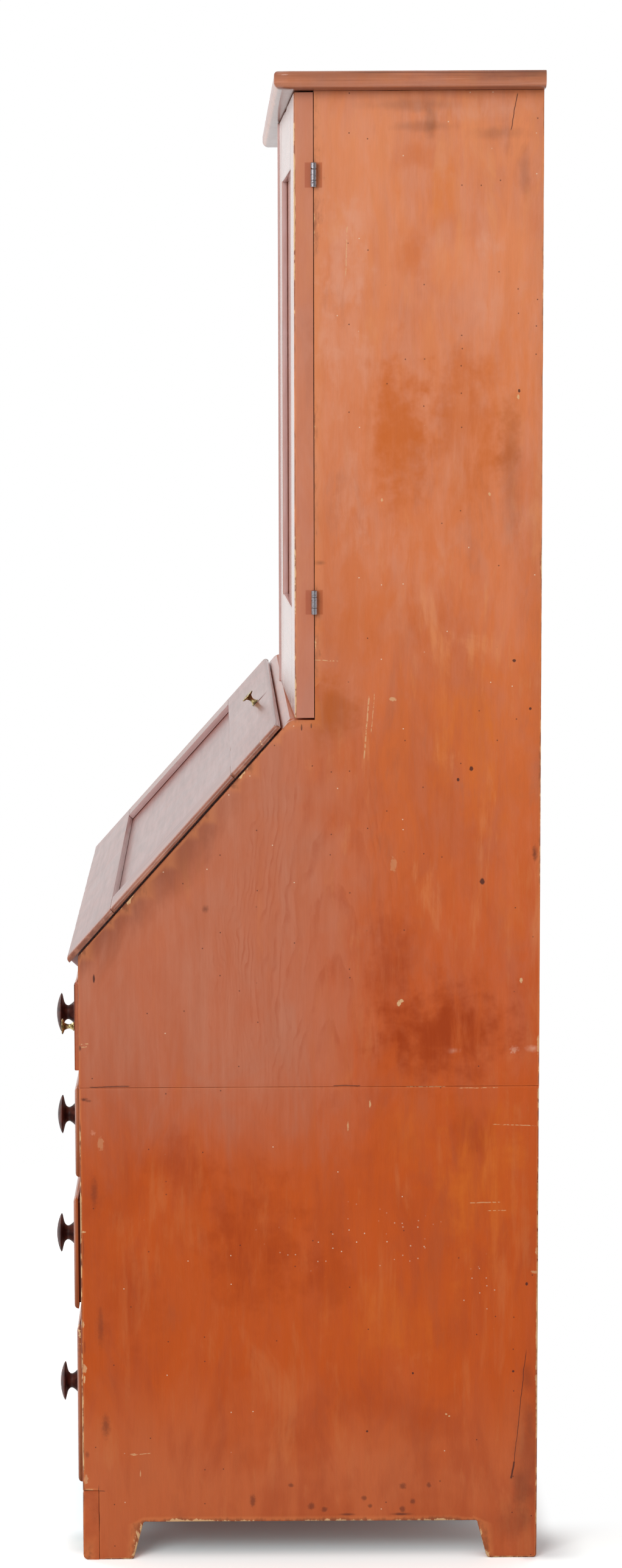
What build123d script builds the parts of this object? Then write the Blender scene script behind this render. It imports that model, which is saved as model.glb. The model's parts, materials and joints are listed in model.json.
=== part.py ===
"""Slant-front desk with a two-door bookcase above it, board by board.

X runs from left to right as seen from the front, Y from the front to the back, Z up.
The origin is on the floor, under the middle of the whole piece. Lengths are in millimetres.
"""

import os
from math import atan2, cos, degrees, hypot, radians, sin, tan

from build123d import *

# The case
case_width = 960.0
overall_height = 2028.0
lower_depth = 627.5
upper_depth = 305.0
side_thick = 22.0
back_thick = 12.0
back_rabbet = 10.0
back_board_count = 4
back_board_gap = 0.6
housing = 6.0
overrun = 5.0

# Heights of the lower case, one on top of the other from the floor
skirt_height = 98.0
bottom_thick = 14.0
fourth_opening = 206.0
low_rail_height = 40.0
third_opening = 142.5
mid_rail_height = 42.5
second_opening = 112.0
lower_top_thick = 10.0

# Heights of the upper case
upper_bottom_thick = 18.5
first_opening = 120.9
slope_rise = 322.0
ledge_reach = 33.0
floor_thick = 22.0
shelf_thick = 18.0
shelf_count = 2
shelf_setback = 4.0
cornice_thick = 24.0
cornice_overhang = 26.0
cornice_top_round = 6.0
cornice_under_round = 11.0
slope_top_round = 14.0
slope_foot_round = 3.0

# Feet and base board
skirt_thick = 22.0
skirt_toe_round = 7.0
arch_height = 53.0
front_foot = 70.0
rear_foot = 69.0
foot_flare = 14.0
foot_round = 5.0
arch_round = 3.0

# Rails and runners for the drawers
rail_depth = 24.0
runner_width = 36.0
runner_thick = 20.0

# Drawers
lip_proud = 7.0
lip_overlap = 6.0
lip_end_overlap = 8.0
lip_gap = 0.3
lip_round = 5.5
front_inside = 15.0
front_lap = 4.0
drawer_slip = 1.0
drawer_run_gap = 0.3
drawer_head_gap = 1.5
drawer_side_drop = 8.0
drawer_side_thick = 11.0
drawer_back_thick = 12.0
drawer_bottom_thick = 6.0
drawer_bottom_rise = 8.0
drawer_groove = 5.0
drawer_back_gap = 20.0
drawer_bottom_slack = 0.5
desk_drawer_gap = 0.45
third_drawer_pull = 3.0
tail_spacing = 36.0
tail_angle = 9.0
tail_share = 0.52

# Wooden drawer knobs, measured from the drawer's face outwards
knob_inset = 110.0
knob_rise = 2.5
knob_length = 27.9
knob_radius = 26.8
knob_foot_radius = 17.2
knob_neck_radius = 9.7
knob_neck_at = 12.0
knob_cove_round = 6.3
knob_cove_end_angle = 10.0
knob_rim_back = 20.6
knob_rim_front = 21.6
peg_radius = 7.0
peg_length = 14.0
peg_slack = 0.1

# Brass knobs of the lid and the pull-out supports
brass_length = 16.8
brass_disc_radius = 10.7
brass_disc_edge = 15.6
brass_disc_dish = 0.7
brass_flange_radius = 6.3
brass_flange_thick = 1.1
brass_neck_radius = 3.0
brass_neck_at = 7.4
brass_flare_start = 2.0
brass_flare_end = 13.2
brass_flare_radius = 5.2
brass_stem_radius = 2.0
brass_stem_length = 12.0

# Pull-out supports for the lid
loper_thick = 14.0
loper_slip = 0.5
loper_gap = 0.4
loper_back_gap = 62.5
loper_round = 2.0
divider_thick = 18.0

# Lid
lid_thick = 23.0
lid_sink = 12.0
lid_lip_gap = 2.5
lid_end_inset = 2.0
lid_slip = 1.0
lid_head_clearance = 2.0
lid_bottom_rail_width = 91.5
lid_top_rail_width = 93.0
lid_stile_width = 90.0
lid_recess = 9.5
lid_panel_thick = 8.0
lid_edge_round = 6.5
lid_knob_drop = 33.0
ledge_show = 16.0
tongue = 8.0
panel_slack = 1.0

# Doors
door_thick = 26.0
door_gap = 0.8
door_foot_gap = 3.0
door_head_gap = 2.0
meeting_gap = 1.5
door_stile_width = 90.0
door_top_rail_width = 92.0
door_bottom_rail_width = 140.0
door_recess = 8.5
door_panel_thick = 10.0
right_door_ajar = 1.05
left_door_ajar = 1.35

# Hinges of the doors
door_hinge_length = 32.0
door_barrel_radius = 4.15
door_leaf_width = 18.0
door_leaf_thick = 1.6
door_pin_radius = 1.6

# Hinges of the lid
lid_hinge_length = 60.0
lid_hinge_inset = 110.0
lid_barrel_radius = 3.2
lid_leaf_width = 28.0
lid_leaf_thick = 1.6
lid_pin_radius = 1.3
hinge_reach = 0.6

# What both kinds of hinge share
barrel_clear = 0.35
knuckle_gap = 0.3
pin_slack = 0.05
end_knuckle_share = 0.27

# Fittings inside the desk
gallery_depth = 215.0
small_drawer_opening = 62.0
gallery_board = 8.0
pigeonhole_count = 7
divider_scoop_share = 0.26
small_drawer_share = 1 / 3
small_drawer_slip = 0.5
small_drawer_head_gap = 1.0
small_drawer_depth = 196.0
small_front_thick = 12.0
small_wall_thick = 6.0
small_bottom_thick = 4.0
small_knob_share = 0.42

# Places that follow from the sizes above
half_width = case_width / 2
inner_x = half_width - side_thick
housed_x = inner_x + housing
overall_depth = lower_depth + lip_proud + third_drawer_pull + knob_length
back_y = overall_depth / 2
front_y = back_y - lower_depth
bookcase_y = back_y - upper_depth
slope_top_y = bookcase_y - ledge_reach
inside_back_y = back_y - back_thick
door_face_y = bookcase_y - door_gap - door_thick
cornice_z = overall_height - cornice_thick

fourth_z = skirt_height + bottom_thick
low_rail_z = fourth_z + fourth_opening
third_z = low_rail_z + low_rail_height
mid_rail_z = third_z + third_opening
second_z = mid_rail_z + mid_rail_height
lower_top_z = second_z + second_opening
seam_z = lower_top_z + lower_top_thick
first_z = seam_z + upper_bottom_thick

# The slope is a line in the side's plane. The lid turns on the line where its inner face
# meets the top of the writing bed, just in front of the case.
slope_angle = atan2(slope_rise, slope_top_y - front_y)
slope_length = hypot(slope_rise, slope_top_y - front_y)
axis_run = (lid_sink * sin(slope_angle) + hinge_reach) / cos(slope_angle)
lid_axis_y = front_y - hinge_reach
bed_under_z = first_z + first_opening
bed_z = bed_under_z + lid_thick
slope_foot_height = bed_z + axis_run * sin(slope_angle) + lid_sink * cos(slope_angle)
slope_top_height = slope_foot_height + slope_rise
lid_length = slope_length - ledge_show + axis_run
lid_body_length = (
    slope_length - floor_thick / sin(slope_angle) + axis_run - lid_head_clearance
)
lid_lip_z = lid_sink + lid_lip_gap
lid_body_x = inner_x - lid_slip
lid_lip_x = half_width - lid_end_inset
floor_under_z = slope_top_height - floor_thick

loper_length = lower_depth - back_thick + lip_proud - loper_back_gap
loper_outer_x = inner_x - loper_slip
loper_inner_x = loper_outer_x - loper_thick
divider_outer_x = loper_inner_x - loper_slip
divider_inner_x = divider_outer_x - divider_thick

door_axis_out = door_barrel_radius + barrel_clear
door_axis_y = bookcase_y - door_gap / 2
door_bottom_z = slope_top_height + door_foot_gap
door_height = cornice_z - door_head_gap - door_bottom_z
door_width = half_width - meeting_gap / 2
door_hinge_heights = (
    door_bottom_z + door_bottom_rail_width + door_hinge_length / 2,
    cornice_z - door_head_gap - door_top_rail_width - door_hinge_length / 2,
)
lid_hinge_x = inner_x - lid_hinge_inset
knob_x = half_width - knob_inset
gallery_front_y = inside_back_y - gallery_depth
gallery_shelf_z = bed_z + small_drawer_opening
small_divider_x = inner_x * small_drawer_share

lid_plane = Plane(
    origin=(0, lid_axis_y, bed_z),
    x_dir=(1, 0, 0),
    z_dir=(0, -sin(slope_angle), cos(slope_angle)),
)


def save(piece, name):
    """Names a finished piece and writes it."""
    piece.label = name
    export_step(piece, f"parts/{name}.step")


def block(x_span, y_span, z_span, mode=Mode.ADD):
    """A squared board, or a square cut, between three pairs of planes."""
    spans = (x_span, y_span, z_span)
    middle = [(low + high) / 2 for low, high in spans]
    size = [abs(high - low) for low, high in spans]
    with Locations(tuple(middle)):
        Box(*size, mode=mode)


def mirrored(hand, near, far):
    """The X span from near to far, on the right for a hand of 1 and on the left for -1."""
    return tuple(sorted((hand * near, hand * far)))


def peg_hole(base, outward, radius, depth):
    """A round hole that goes in from the base, against the outward direction."""
    with BuildSketch(Plane(origin=base, z_dir=outward)) as mouth:
        Circle(radius)
    extrude(mouth.sketch, amount=-depth, mode=Mode.SUBTRACT)


def floor_profile(x):
    """Section of the bookcase floor, whose front edge is planed to the slope."""
    bevel = floor_thick / tan(slope_angle)
    with BuildSketch(Plane.YZ.offset(x)) as section:
        with BuildLine():
            Polyline(
                (slope_top_y, slope_top_height),
                (slope_top_y - bevel, floor_under_z),
                (inside_back_y, floor_under_z),
                (inside_back_y, slope_top_height),
                close=True,
            )
        make_face()
    return section.sketch


def shelf_levels():
    """Undersides of the bookcase shelves, which part its height evenly."""
    clear = cornice_z - slope_top_height - shelf_count * shelf_thick
    step = clear / (shelf_count + 1)
    return [
        slope_top_height + step * (i + 1) + shelf_thick * i for i in range(shelf_count)
    ]


# Lower case


def lower_side(hand):
    """Side board of the lower case, with its two feet and the notch for the base board."""
    outer = mirrored(hand, inner_x, half_width)
    housed = mirrored(hand, inner_x - overrun, housed_x)
    with BuildPart() as board:
        with BuildSketch(Plane.YZ.offset(outer[0])) as outline:
            with BuildLine():
                Polyline(
                    (front_y + skirt_thick, 0),
                    (front_y + front_foot, 0),
                    (front_y + front_foot + foot_flare, arch_height),
                    (back_y - rear_foot - foot_flare, arch_height),
                    (back_y - rear_foot, 0),
                    (back_y, 0),
                    (back_y, seam_z),
                    (front_y, seam_z),
                    (front_y, skirt_height),
                    (front_y + skirt_thick, skirt_height),
                    close=True,
                )
            make_face()
            fillet(outline.vertices().group_by(Axis.Y)[1], radius=arch_round)
            fillet(outline.vertices().group_by(Axis.Y)[0].sort_by(Axis.X)[1:], radius=foot_round)
        extrude(amount=side_thick)
        block(housed, (front_y, inside_back_y), (skirt_height, fourth_z), Mode.SUBTRACT)
        block(housed, (front_y, front_y + rail_depth), (low_rail_z, third_z), Mode.SUBTRACT)
        block(housed, (front_y, front_y + rail_depth), (mid_rail_z, second_z), Mode.SUBTRACT)
        block(housed, (front_y, inside_back_y), (lower_top_z, seam_z), Mode.SUBTRACT)
        rabbet = mirrored(hand, inner_x - overrun, inner_x + back_rabbet)
        block(rabbet, (inside_back_y, back_y), (skirt_height, seam_z), Mode.SUBTRACT)
    return board.part


def base_skirt():
    """Base board across the front, cut away between its feet."""
    with BuildPart() as board:
        with BuildSketch(Plane.XZ.offset(-front_y - skirt_thick)) as outline:
            with BuildLine():
                Polyline(
                    (-half_width, 0),
                    (-half_width + front_foot, 0),
                    (-half_width + front_foot + foot_flare, arch_height),
                    (half_width - front_foot - foot_flare, arch_height),
                    (half_width - front_foot, 0),
                    (half_width, 0),
                    (half_width, skirt_height),
                    (-half_width, skirt_height),
                    close=True,
                )
            make_face()
            fillet(outline.vertices().group_by(Axis.Y)[1], radius=arch_round)
        extrude(amount=skirt_thick)
        soles = board.edges().filter_by(Axis.X).group_by(Axis.Z)[0].group_by(Axis.Y)[0]
        fillet(soles, radius=skirt_toe_round)
    return board.part


def board_between_sides(y_span, z_span):
    """A board let into both sides."""
    with BuildPart() as board:
        block((-housed_x, housed_x), y_span, z_span)
    return board.part


def drawer_runners():
    """Four runners that carry the second and third drawers, two on each rail's level."""
    with BuildPart() as runners:
        for hand in (-1, 1):
            for top in (third_z, second_z):
                block(
                    mirrored(hand, inner_x - runner_width, inner_x),
                    (front_y + rail_depth, inside_back_y),
                    (top - runner_thick, top),
                )
    return runners.part


def back_boards(z_span):
    """Upright back boards side by side in the rabbets of the sides."""
    width = 2 * (inner_x + back_rabbet)
    pitch = width / back_board_count
    with BuildPart() as boards:
        for i in range(back_board_count):
            start = -width / 2 + pitch * i
            span = (start + back_board_gap / 2, start + pitch - back_board_gap / 2)
            block(span, (inside_back_y, back_y), z_span)
    return boards.part


# Upper case


def upper_side(hand):
    """Side board of desk and bookcase in one, with the slope between them."""
    outer = mirrored(hand, inner_x, half_width)
    housed = mirrored(hand, inner_x - overrun, housed_x)
    with BuildPart() as board:
        with BuildSketch(Plane.YZ.offset(outer[0])) as outline:
            with BuildLine():
                Polyline(
                    (front_y, seam_z),
                    (front_y, slope_foot_height),
                    (slope_top_y, slope_top_height),
                    (bookcase_y, slope_top_height),
                    (bookcase_y, cornice_z),
                    (back_y, cornice_z),
                    (back_y, seam_z),
                    close=True,
                )
            make_face()
            fillet(outline.vertices().group_by(Axis.Y)[2].sort_by(Axis.X)[0], radius=slope_top_round)
            fillet(outline.vertices().group_by(Axis.Y)[1], radius=slope_foot_round)
        extrude(amount=side_thick)
        block(housed, (front_y, inside_back_y), (seam_z, first_z), Mode.SUBTRACT)
        block(housed, (front_y, inside_back_y), (bed_under_z, bed_z), Mode.SUBTRACT)
        extrude(floor_profile(housed[0]), amount=housing + overrun, mode=Mode.SUBTRACT)
        for level in shelf_levels():
            span = (bookcase_y + shelf_setback, inside_back_y)
            block(housed, span, (level, level + shelf_thick), Mode.SUBTRACT)
        rabbet = mirrored(hand, inner_x - overrun, inner_x + back_rabbet)
        block(rabbet, (inside_back_y, back_y), (seam_z, cornice_z), Mode.SUBTRACT)
        for height in door_hinge_heights:
            block(
                mirrored(hand, half_width - door_leaf_width, half_width + overrun),
                (bookcase_y - overrun, bookcase_y + door_leaf_thick),
                (height - door_hinge_length / 2, height + door_hinge_length / 2),
                Mode.SUBTRACT,
            )
    return board.part


def loper_dividers():
    """Upright partitions between the desk drawer and the pull-out supports."""
    with BuildPart() as dividers:
        for hand in (-1, 1):
            block(
                mirrored(hand, divider_inner_x, divider_outer_x),
                (front_y, inside_back_y),
                (first_z, bed_under_z),
            )
    return dividers.part


def writing_bed():
    """The desk's writing surface, cut away for the hinges of the lid."""
    reach = lid_barrel_radius + barrel_clear
    with BuildPart() as bed:
        block((-housed_x, housed_x), (front_y, inside_back_y), (bed_under_z, bed_z))
        for hand in (-1, 1):
            middle = hand * lid_hinge_x
            span = (middle - lid_hinge_length / 2, middle + lid_hinge_length / 2)
            leaf = (lid_axis_y, lid_axis_y + reach + lid_leaf_width)
            block(span, leaf, (bed_z - lid_leaf_thick, bed_z), Mode.SUBTRACT)
            with BuildSketch(Plane.YZ.offset(span[0] - knuckle_gap)):
                with Locations((lid_axis_y, bed_z)):
                    Circle(reach)
            extrude(amount=lid_hinge_length + 2 * knuckle_gap, mode=Mode.SUBTRACT)
    return bed.part


def bookcase_floor():
    """Board between desk and bookcase."""
    with BuildPart() as board:
        extrude(floor_profile(-housed_x), amount=2 * housed_x)
    return board.part


def bookcase_shelves():
    """Fixed shelves of the bookcase."""
    with BuildPart() as shelves:
        for level in shelf_levels():
            block(
                (-housed_x, housed_x),
                (bookcase_y + shelf_setback, inside_back_y),
                (level, level + shelf_thick),
            )
    return shelves.part


def cornice_board():
    """Top board with a rounded edge at the front and both ends."""
    reach = half_width + cornice_overhang
    with BuildPart() as board:
        block((-reach, reach), (door_face_y - cornice_overhang, back_y), (cornice_z, overall_height))
        under = board.edges().group_by(Axis.Z)[0].sort_by(Axis.Y)[:-1]
        fillet(under, radius=cornice_under_round)
        top = board.edges().group_by(Axis.Z)[-1].sort_by(Axis.Y)[:-1]
        fillet(top, radius=cornice_top_round)
    return board.part


# Fittings inside the desk


def gallery_shelf():
    """Shelf above the two small drawers."""
    with BuildPart() as shelf:
        block(
            (-inner_x, inner_x),
            (gallery_front_y, inside_back_y),
            (gallery_shelf_z, gallery_shelf_z + gallery_board),
        )
    return shelf.part


def gallery_dividers():
    """Upright dividers: two beside the small drawers, the rest between pigeonholes."""
    low = gallery_shelf_z + gallery_board
    height = floor_under_z - low
    scoop = height * divider_scoop_share
    with BuildPart() as dividers:
        for hand in (-1, 1):
            block(
                mirrored(hand, small_divider_x - gallery_board, small_divider_x),
                (gallery_front_y, inside_back_y),
                (bed_z, gallery_shelf_z),
            )
        pitch = 2 * inner_x / pigeonhole_count
        for i in range(1, pigeonhole_count):
            x = -inner_x + pitch * i - gallery_board / 2
            with BuildSketch(Plane.YZ.offset(x)) as leaf:
                with BuildLine():
                    Polyline(
                        (gallery_front_y, low),
                        (inside_back_y, low),
                        (inside_back_y, low + height),
                        (gallery_front_y, low + height),
                    )
                    ThreePointArc(
                        (gallery_front_y, low + height),
                        (gallery_front_y + scoop, low + height / 2),
                        (gallery_front_y, low),
                    )
                make_face()
            extrude(leaf.sketch, amount=gallery_board)
    return dividers.part


def small_drawer(hand):
    """A small drawer with its front, two sides, back, bottom and knob as separate pieces."""
    near = small_divider_x + small_drawer_slip
    far = inner_x - small_drawer_slip
    low = bed_z + drawer_run_gap
    high = gallery_shelf_z - small_drawer_head_gap
    front = gallery_front_y
    face_back = front + small_front_thick
    rear = front + small_drawer_depth
    knob_base = (hand * (near + far) / 2, front, (low + high) / 2)
    floor = low + small_bottom_thick
    with BuildPart() as face:
        block(mirrored(hand, near, far), (front, face_back), (low, high))
        peg = peg_radius * small_knob_share
        peg_hole(knob_base, (0, -1, 0), peg + peg_slack, peg_length * small_knob_share)
    with BuildPart() as walls:
        for start, end in ((near, near + small_wall_thick), (far - small_wall_thick, far)):
            block(mirrored(hand, start, end), (face_back, rear), (low, high))
    inside = mirrored(hand, near + small_wall_thick, far - small_wall_thick)
    with BuildPart() as bottom:
        block(inside, (face_back, rear), (low, floor))
    with BuildPart() as rear_wall:
        block(inside, (rear - small_wall_thick, rear), (floor, high))
    with BuildPart() as knob:
        wooden_knob(knob_base, small_knob_share)
    walls_and_floor = walls.solids() + bottom.solids() + rear_wall.solids()
    return Compound(face.solids() + walls_and_floor + knob.solids())


# Hinges


def knuckle_spans(length):
    """Three knuckles along a hinge's own axis, measured from its middle."""
    end = length * end_knuckle_share
    half = length / 2
    return (
        (-half, -half + end - knuckle_gap / 2),
        (-half + end + knuckle_gap / 2, half - end - knuckle_gap / 2),
        (half - end + knuckle_gap / 2, half),
    )


def hinge_leaves(planes, spans, length, barrel, pin, width, offset, thick):
    """One leaf of each hinge: a plate, with knuckles around the pin at the given spans.

    In each plane the pin lies along Z, and the plate runs from the barrel along X.
    """
    start = barrel + barrel_clear
    sheet = (offset, offset + thick)
    with BuildPart(*planes) as leaves:
        block((start, start + width), sheet, (-length / 2, length / 2))
        for span in spans:
            block((0, start), sheet, span)
            with Locations((0, 0, (span[0] + span[1]) / 2)):
                Cylinder(barrel, span[1] - span[0])
        Cylinder(pin + pin_slack, length + overrun, mode=Mode.SUBTRACT)
    return leaves.part


def hinge_pins(planes, length, pin):
    """The pins of a set of hinges."""
    with BuildPart(*planes) as pins:
        Cylinder(pin, length)
    return pins.part


def case_hinge_planes():
    """One plane on each door hinge's axis, with X into the side and Y to the back."""
    planes = []
    for hand in (-1, 1):
        for height in door_hinge_heights:
            planes.append(
                Plane(
                    origin=(hand * (half_width + door_axis_out), door_axis_y, height),
                    x_dir=(-hand, 0, 0),
                    z_dir=(0, 0, -hand),
                )
            )
    return planes


def lid_hinge_planes(x_dir, z_dir):
    """One plane on each lid hinge's axis, turned to suit the leaf."""
    return [
        Plane(origin=(hand * lid_hinge_x, lid_axis_y, bed_z), x_dir=x_dir, z_dir=z_dir)
        for hand in (-1, 1)
    ]


# Turned knobs


def wooden_knob(base, share=1):
    """Mushroom knob on a drawer's face, with the peg behind it, or a smaller one like it."""
    outward = (0, -1, 0)
    centre_radius = knob_neck_radius + knob_cove_round
    drop = knob_foot_radius - centre_radius
    reach = hypot(knob_neck_at, drop)
    tangent = (reach**2 - knob_cove_round**2) ** 0.5
    fall = atan2(knob_cove_round, tangent) + atan2(drop, knob_neck_at)
    turn = radians(knob_cove_end_angle)
    with BuildSketch(Plane(origin=base, x_dir=outward, z_dir=(1, 0, 0))) as half:
        with BuildLine():
            Polyline(
                (knob_length, 0),
                (-peg_length, 0),
                (-peg_length, peg_radius),
                (0, peg_radius),
                (0, knob_foot_radius),
                (tangent * cos(fall), knob_foot_radius - tangent * sin(fall)),
            )
            ThreePointArc(
                (tangent * cos(fall), knob_foot_radius - tangent * sin(fall)),
                (knob_neck_at, knob_neck_radius),
                (
                    knob_neck_at + knob_cove_round * cos(turn),
                    centre_radius + knob_cove_round * sin(turn),
                ),
            )
            Polyline(
                (
                    knob_neck_at + knob_cove_round * cos(turn),
                    centre_radius + knob_cove_round * sin(turn),
                ),
                (knob_rim_back, knob_radius),
                (knob_rim_front, knob_radius),
            )
            TangentArc(
                (knob_length, 0),
                (knob_rim_front, knob_radius),
                tangent=(0, 1),
            )
        make_face()
        scale(by=share)
    revolve(half.sketch, axis=Axis(base, outward))


def brass_knob(base, outward, across):
    """Trumpet-shaped brass knob with its stem."""
    with BuildPart() as knob:
        with BuildSketch(Plane(origin=base, x_dir=outward, z_dir=across)):
            with BuildLine():
                Polyline(
                    (brass_length - brass_disc_dish, 0),
                    (-brass_stem_length, 0),
                    (-brass_stem_length, brass_stem_radius),
                    (0, brass_stem_radius),
                    (0, brass_flange_radius),
                    (brass_flange_thick, brass_flange_radius),
                    (brass_flare_start, brass_flare_radius),
                )
                ThreePointArc(
                    (brass_flare_start, brass_flare_radius),
                    (brass_neck_at, brass_neck_radius),
                    (brass_flare_end, brass_flare_radius),
                )
                Polyline(
                    (brass_flare_end, brass_flare_radius),
                    (brass_disc_edge, brass_disc_radius),
                    (brass_length, brass_disc_radius),
                    (brass_length - brass_disc_dish, 0),
                )
            make_face()
        revolve(axis=Axis(base, outward))
    return knob.part


# Lid


def lid_blocks(low, high, groove):
    """Solid of a rail of the lid with its lip, less the groove for the panel.

    The rail lies on the lid's plane, between two distances from the hinges.
    """
    panel = (lid_thick - lid_recess - lid_panel_thick, lid_thick - lid_recess)
    block((-lid_body_x, lid_body_x), (low, min(high, lid_body_length)), (0, lid_lip_z))
    block((-lid_lip_x, lid_lip_x), (low, high), (lid_lip_z, lid_thick))
    block((-half_width, half_width), groove, panel, Mode.SUBTRACT)


def outer_edges(rail, end):
    """Edges of the rail's outer face along its two ends and its outer side, 0 or -1."""
    face = rail.faces().sort_by(Axis((0, 0, 0), tuple(lid_plane.z_dir)))[-1]
    along = Axis((0, 0, 0), tuple(lid_plane.y_dir))
    ends = face.edges().sort_by(Axis.X)
    return [ends[0], ends[-1], face.edges().sort_by(along)[end]]


def lid_bottom_rail():
    """Bottom rail of the lid, cut away for the hinges."""
    top = hinge_reach + lid_bottom_rail_width
    reach = lid_barrel_radius + barrel_clear
    with BuildPart(lid_plane) as rail:
        lid_blocks(hinge_reach, top, (top - tongue, top))
        fillet(outer_edges(rail, 0), radius=lid_edge_round)
        for hand in (-1, 1):
            start = hand * lid_hinge_x - lid_hinge_length / 2
            span = (start, start + lid_hinge_length)
            block(span, (0, reach + lid_leaf_width), (0, lid_leaf_thick), Mode.SUBTRACT)
            with BuildSketch(Plane.YZ.offset(start - knuckle_gap)):
                with Locations((lid_axis_y, bed_z)):
                    Circle(reach)
            extrude(amount=lid_hinge_length + 2 * knuckle_gap, mode=Mode.SUBTRACT)
    return rail.part


def lid_top_rail():
    """Top rail of the lid, whose lip covers the ledge of the slope, bored for the knob."""
    low = lid_length - lid_top_rail_width
    with BuildPart(lid_plane) as rail:
        lid_blocks(low, lid_length, (low, low + tongue))
        fillet(outer_edges(rail, -1), radius=lid_edge_round)
        peg_hole(lid_knob_base(), lid_plane.z_dir, brass_stem_radius + peg_slack, brass_stem_length)
    return rail.part


def lid_knob_base():
    """Point on the lid's outer face where its knob stands."""
    return lid_plane.from_local_coords(Vector(0, lid_length - lid_knob_drop, lid_thick))


def lid_stiles():
    """Stiles of the lid, tenoned between its rails."""
    low = hinge_reach + lid_bottom_rail_width
    high = lid_length - lid_top_rail_width
    panel = (lid_thick - lid_recess - lid_panel_thick, lid_thick - lid_recess)
    inner = lid_lip_x - lid_stile_width
    with BuildPart(lid_plane) as stiles:
        for hand in (-1, 1):
            block(mirrored(hand, inner, lid_body_x), (low, high), (0, lid_lip_z))
            block(mirrored(hand, inner, lid_lip_x), (low, high), (lid_lip_z, lid_thick))
            block(mirrored(hand, inner, lid_body_x), (low - tongue, high + tongue), panel)
            slot = (low - tongue - overrun, high + tongue + overrun)
            block(mirrored(hand, inner - overrun, inner + tongue), slot, panel, Mode.SUBTRACT)
        face = stiles.faces().sort_by(Axis((0, 0, 0), tuple(lid_plane.z_dir)))[-2:]
        sides = face.edges().filter_by(Axis((0, 0, 0), tuple(lid_plane.y_dir))).sort_by(Axis.X)
        fillet([sides[0], sides[-1]], radius=lid_edge_round)
    return stiles.part


def lid_panel():
    """Sunk panel of the lid, held in the grooves of its frame."""
    reach = tongue - panel_slack
    side = lid_lip_x - lid_stile_width + reach
    low = hinge_reach + lid_bottom_rail_width - reach
    high = lid_length - lid_top_rail_width + reach
    with BuildPart(lid_plane) as panel:
        block(
            (-side, side),
            (low, high),
            (lid_thick - lid_recess - lid_panel_thick, lid_thick - lid_recess),
        )
    return panel.part


# Doors


def door_plane(hand):
    """A door's own plane, on its hinges' axis, with X across, Y up and Z to the front."""
    turn = radians(right_door_ajar if hand > 0 else left_door_ajar)
    return Plane(
        origin=(hand * (half_width + door_axis_out), door_axis_y, door_bottom_z),
        x_dir=(cos(turn), hand * sin(turn), 0),
        z_dir=(hand * sin(turn), -cos(turn), 0),
    )


def door_span(hand, near, far):
    """The span across a door from near to far, measured from its outer edge."""
    return mirrored(-hand, door_axis_out + near, door_axis_out + far)


door_back = door_gap / 2
door_front = door_back + door_thick
door_groove = (door_front - door_recess - door_panel_thick, door_front - door_recess)


def door_stiles(hand):
    """The two stiles of a door, grooved for the panel, and notched for the hinges."""
    with BuildPart(door_plane(hand)) as stiles:
        outer = (0, door_stile_width)
        meeting = (door_width - door_stile_width, door_width)
        for near, far in (outer, meeting):
            block(door_span(hand, near, far), (0, door_height), (door_back, door_front))
        slot = (door_stile_width - tongue, door_width - door_stile_width + tongue)
        span = (-overrun, door_height + overrun)
        block(door_span(hand, *slot), span, door_groove, Mode.SUBTRACT)
        for height in door_hinge_heights:
            middle = height - door_bottom_z
            block(
                door_span(hand, -overrun, door_leaf_width),
                (middle - door_hinge_length / 2, middle + door_hinge_length / 2),
                (door_back - overrun, door_back + door_leaf_thick),
                Mode.SUBTRACT,
            )
    return stiles.part


def door_rail(hand, low, high, groove):
    """A rail of a door, tenoned between its stiles and grooved for the panel."""
    shoulder = (door_stile_width, door_width - door_stile_width)
    tenon = (door_stile_width - tongue, door_width - door_stile_width + tongue)
    with BuildPart(door_plane(hand)) as rail:
        block(door_span(hand, *shoulder), (low, high), (door_back, door_front))
        block(door_span(hand, *tenon), (low, high), door_groove)
        block(door_span(hand, -overrun, door_width + overrun), groove, door_groove, Mode.SUBTRACT)
    return rail.part


def door_panel(hand):
    """Sunk panel of a door."""
    reach = tongue - panel_slack
    across = (door_stile_width - reach, door_width - door_stile_width + reach)
    upright = (door_bottom_rail_width - reach, door_height - door_top_rail_width + reach)
    with BuildPart(door_plane(hand)) as panel:
        block(door_span(hand, *across), upright, door_groove)
    return panel.part


def door_hinge_planes(hand):
    """One plane on each hinge of a door, with X into the door and Y to its front."""
    plane = door_plane(hand)
    return [
        Plane(
            origin=plane.from_local_coords(Vector(0, height - door_bottom_z, 0)),
            x_dir=plane.x_dir * -hand,
            z_dir=(0, 0, hand),
        )
        for height in door_hinge_heights
    ]


# Pull-out supports


def loper(hand):
    """Support that slides out beside the top drawer to carry the open lid."""
    front = front_y - lip_proud
    height = (first_z + drawer_run_gap, bed_under_z - loper_gap)
    span = mirrored(hand, loper_inner_x, loper_outer_x)
    with BuildPart() as bar:
        block(span, (front, front + loper_length), height)
        face = bar.faces().sort_by(Axis.Y)[0]
        fillet(face.edges(), radius=loper_round)
        peg_hole(loper_knob_base(hand), (0, -1, 0), brass_stem_radius + peg_slack, brass_stem_length)
    return bar.part


def loper_knob_base(hand):
    """Middle of the front end of a support."""
    middle = (loper_inner_x + loper_outer_x) / 2
    return (hand * middle, front_y - lip_proud, (first_z + bed_under_z) / 2)


# Drawers


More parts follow.
